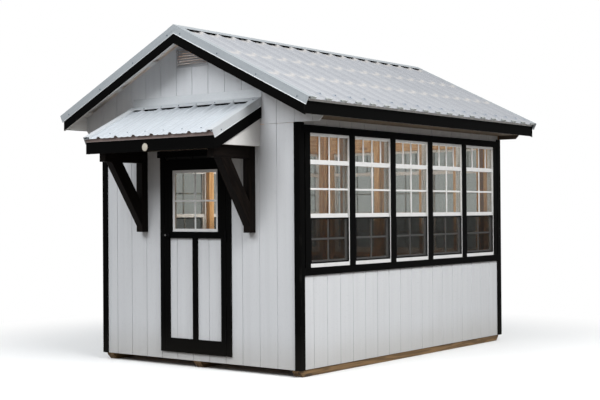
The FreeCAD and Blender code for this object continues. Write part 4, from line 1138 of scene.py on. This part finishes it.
def make_screens():
    rims, webs = bmesh.new(), bmesh.new()
    for low, high in screen_boxes():
        stretch_screen(rims, webs, low, high)
    bmesh.ops.recalc_face_normals(rims, faces=rims.faces)
    ease_edges(rims, RIM_EDGE)
    open_edges = sum(not edge.is_manifold for edge in rims.edges)
    print("stretched", len(webs.faces), "screens,", len(rims.faces), "rim faces,", open_edges, "open edges")
    give_grain(rims, "window_screens")
    place_piece(rims, "window_screens_rim", "window_screens", [black_handle])
    place_piece(webs, "window_screens_mesh", "window_screens", [dark_screen])


make_screens()

# %% [markdown]
# ## Studio floor
# The floor is pale and plain. Close to the shed it is an ordinary matt surface, which keeps the shadow,
# and further off it turns plain white for the camera, so that it meets the white backdrop with no horizon.
# The light that it throws back at the shed comes from a darker grey-brown, so that undersides keep their
# shade.

# %% Floor
FLOOR_HALF = 60.0
SHADOW_KEPT, ALL_WHITE = 2.6, 5.2


def seen_white(wiring):
    """1 for the rays that should find a white studio: from the camera, a mirror or a pane."""
    kinds = ("Is Camera Ray", "Is Glossy Ray", "Is Transmission Ray")
    camera, glossy, through = (wiring.node("ShaderNodeLightPath", out=kind) for kind in kinds)
    return camera.at_least(glossy.at_least(through))


def floor_finish():
    finish = Finish("studio_floor")
    spot = here(finish)
    distance = finish.node("ShaderNodeVectorMath", {"operation": "LENGTH"}, {0: spot}, "Value")
    speckle = noise(finish, spot, 30.0, 3.0)
    white = finish.node("ShaderNodeEmission", None, {"Color": (1.0, 1.0, 1.0, 1.0), "Strength": 1.0})
    seen = seen_white(finish)
    pale = mix(finish, speckle, paint(240, 240, 240), paint(234, 234, 233))
    finish.set(base_color=mix(finish, seen, paint(104, 98, 92), pale), roughness=0.9)
    matt = Wire(finish, finish.shader.outputs[0])
    share = seen * fade(finish, distance, SHADOW_KEPT, ALL_WHITE)
    both = finish.node("ShaderNodeMixShader", None, {0: share, 1: matt, 2: white})
    finish.feed(finish.output.inputs["Surface"], both)
    return finish.material


floor_sheet = bmesh.new()
bmesh.ops.create_grid(floor_sheet, x_segments=1, y_segments=1, size=FLOOR_HALF)
floor_mesh = bpy.data.meshes.new("studio_floor")
floor_sheet.to_mesh(floor_mesh)
floor_sheet.free()
floor_mesh.materials.append(floor_finish())
studio_floor = bpy.data.objects.new("studio_floor", floor_mesh)
bpy.context.scene.collection.objects.link(studio_floor)
studio_floor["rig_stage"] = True
print("floor laid")

# %% [markdown]
# ## Soft light
# An overcast sky lights the shed from everywhere, more from above than from the horizon, so eaves keep
# their shade. Two large lamps add a little from the right and the front, and a weak one inside, turned up
# at the roof, stands for the daylight that the windows let in. The sky is a cool grey for lighting, and
# plain white where the camera, a mirror or a pane looks at it.

# %% World and lamps
SKY_LOW, SKY_RISE = 0.22, 0.76
WALL_MIDDLE, LAMP_WIDE = (0.0, 0.0, 1.3), 5.0
ROOM_SPOT, ROOM_TARGET, ROOM_WIDE = (0.0, 0.0, 1.2), (0.0, 0.0, 3.0), 1.6


def sky():
    """A dome that brightens towards the top, as cloud does, and looks white."""
    world = bpy.data.worlds.new("studio_sky")
    world.use_nodes = True
    bpy.context.scene.world = world
    dome = Wiring(world.node_tree)
    way = dome.node("ShaderNodeTexCoord", out="Generated")
    up = axis_of(dome, way, "Z").at_least(0.0)
    cloud = dome.node("ShaderNodeBackground", None,
                      {"Color": (0.95, 0.975, 1.0, 1.0), "Strength": SKY_LOW + SKY_RISE * up})
    white = dome.node("ShaderNodeBackground", None, {"Color": (1.0, 1.0, 1.0, 1.0), "Strength": 1.0})
    both = dome.node("ShaderNodeMixShader", None, {0: seen_white(dome), 1: cloud, 2: white})
    dome.feed(world.node_tree.nodes["World Output"].inputs["Surface"], both)


def soft_lamp(name, spot, target, size, watts, colour):
    lamp = bpy.data.lights.new(name, "AREA")
    lamp.size = size
    lamp.energy = watts
    lamp.color = colour
    holder = bpy.data.objects.new(name, lamp)
    holder.matrix_world = (Matrix.Translation(spot)
                           @ (Vector(target) - Vector(spot)).to_track_quat("-Z", "Y").to_matrix().to_4x4())
    bpy.context.scene.collection.objects.link(holder)
    return holder


sky()
soft_lamp("right_light", (8.5, -3.5, 8.0), WALL_MIDDLE, LAMP_WIDE, 1030.0, (1.0, 0.999, 0.99))
soft_lamp("front_light", (-1.0, -9.5, 8.0), WALL_MIDDLE, LAMP_WIDE, 590.0, (0.96, 0.98, 1.0))
room_light = soft_lamp("room_light", ROOM_SPOT, ROOM_TARGET, ROOM_WIDE, 70.0, (1.0, 0.98, 0.95))
room_light.visible_camera = False
room_light.visible_glossy = False
bpy.context.scene.view_settings.view_transform = "Standard"
print("lamps set")

# %% [markdown]
# ## Camera
# The camera stands to the right of the door, about eye height, looking almost level. Its place, turn and
# lens were worked out from the straight edges of the shed in a picture 600 pixels wide.

# %% Camera
CAMERA_SPOT = (7.520, -10.027, 1.469)
CAMERA_YAW, CAMERA_PITCH, CAMERA_ROLL = math.radians(37.50), math.radians(0.52), math.radians(-0.38)
IMAGE_WIDTH = 600
FOCAL_PIXELS = 1176.95

lens = bpy.data.cameras.new("photo_camera")
lens.sensor_fit = "HORIZONTAL"
lens.sensor_width = 36.0
lens.lens = FOCAL_PIXELS / IMAGE_WIDTH * lens.sensor_width
camera = bpy.data.objects.new("photo_camera", lens)
camera.matrix_world = (Matrix.Translation(CAMERA_SPOT) @ Matrix.Rotation(CAMERA_YAW, 4, "Z")
                       @ Matrix.Rotation(math.pi / 2 + CAMERA_PITCH, 4, "X")
                       @ Matrix.Rotation(CAMERA_ROLL, 4, "Z"))
bpy.context.scene.collection.objects.link(camera)
bpy.context.scene.camera = camera
print("lens", round(lens.lens, 2), "mm")

# %% Measure both boxes and finish
seen_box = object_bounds()
boxes = {"cad": cad_box, "visual": seen_box}
{name: [list(corner) for corner in corners] for name, corners in boxes.items()}
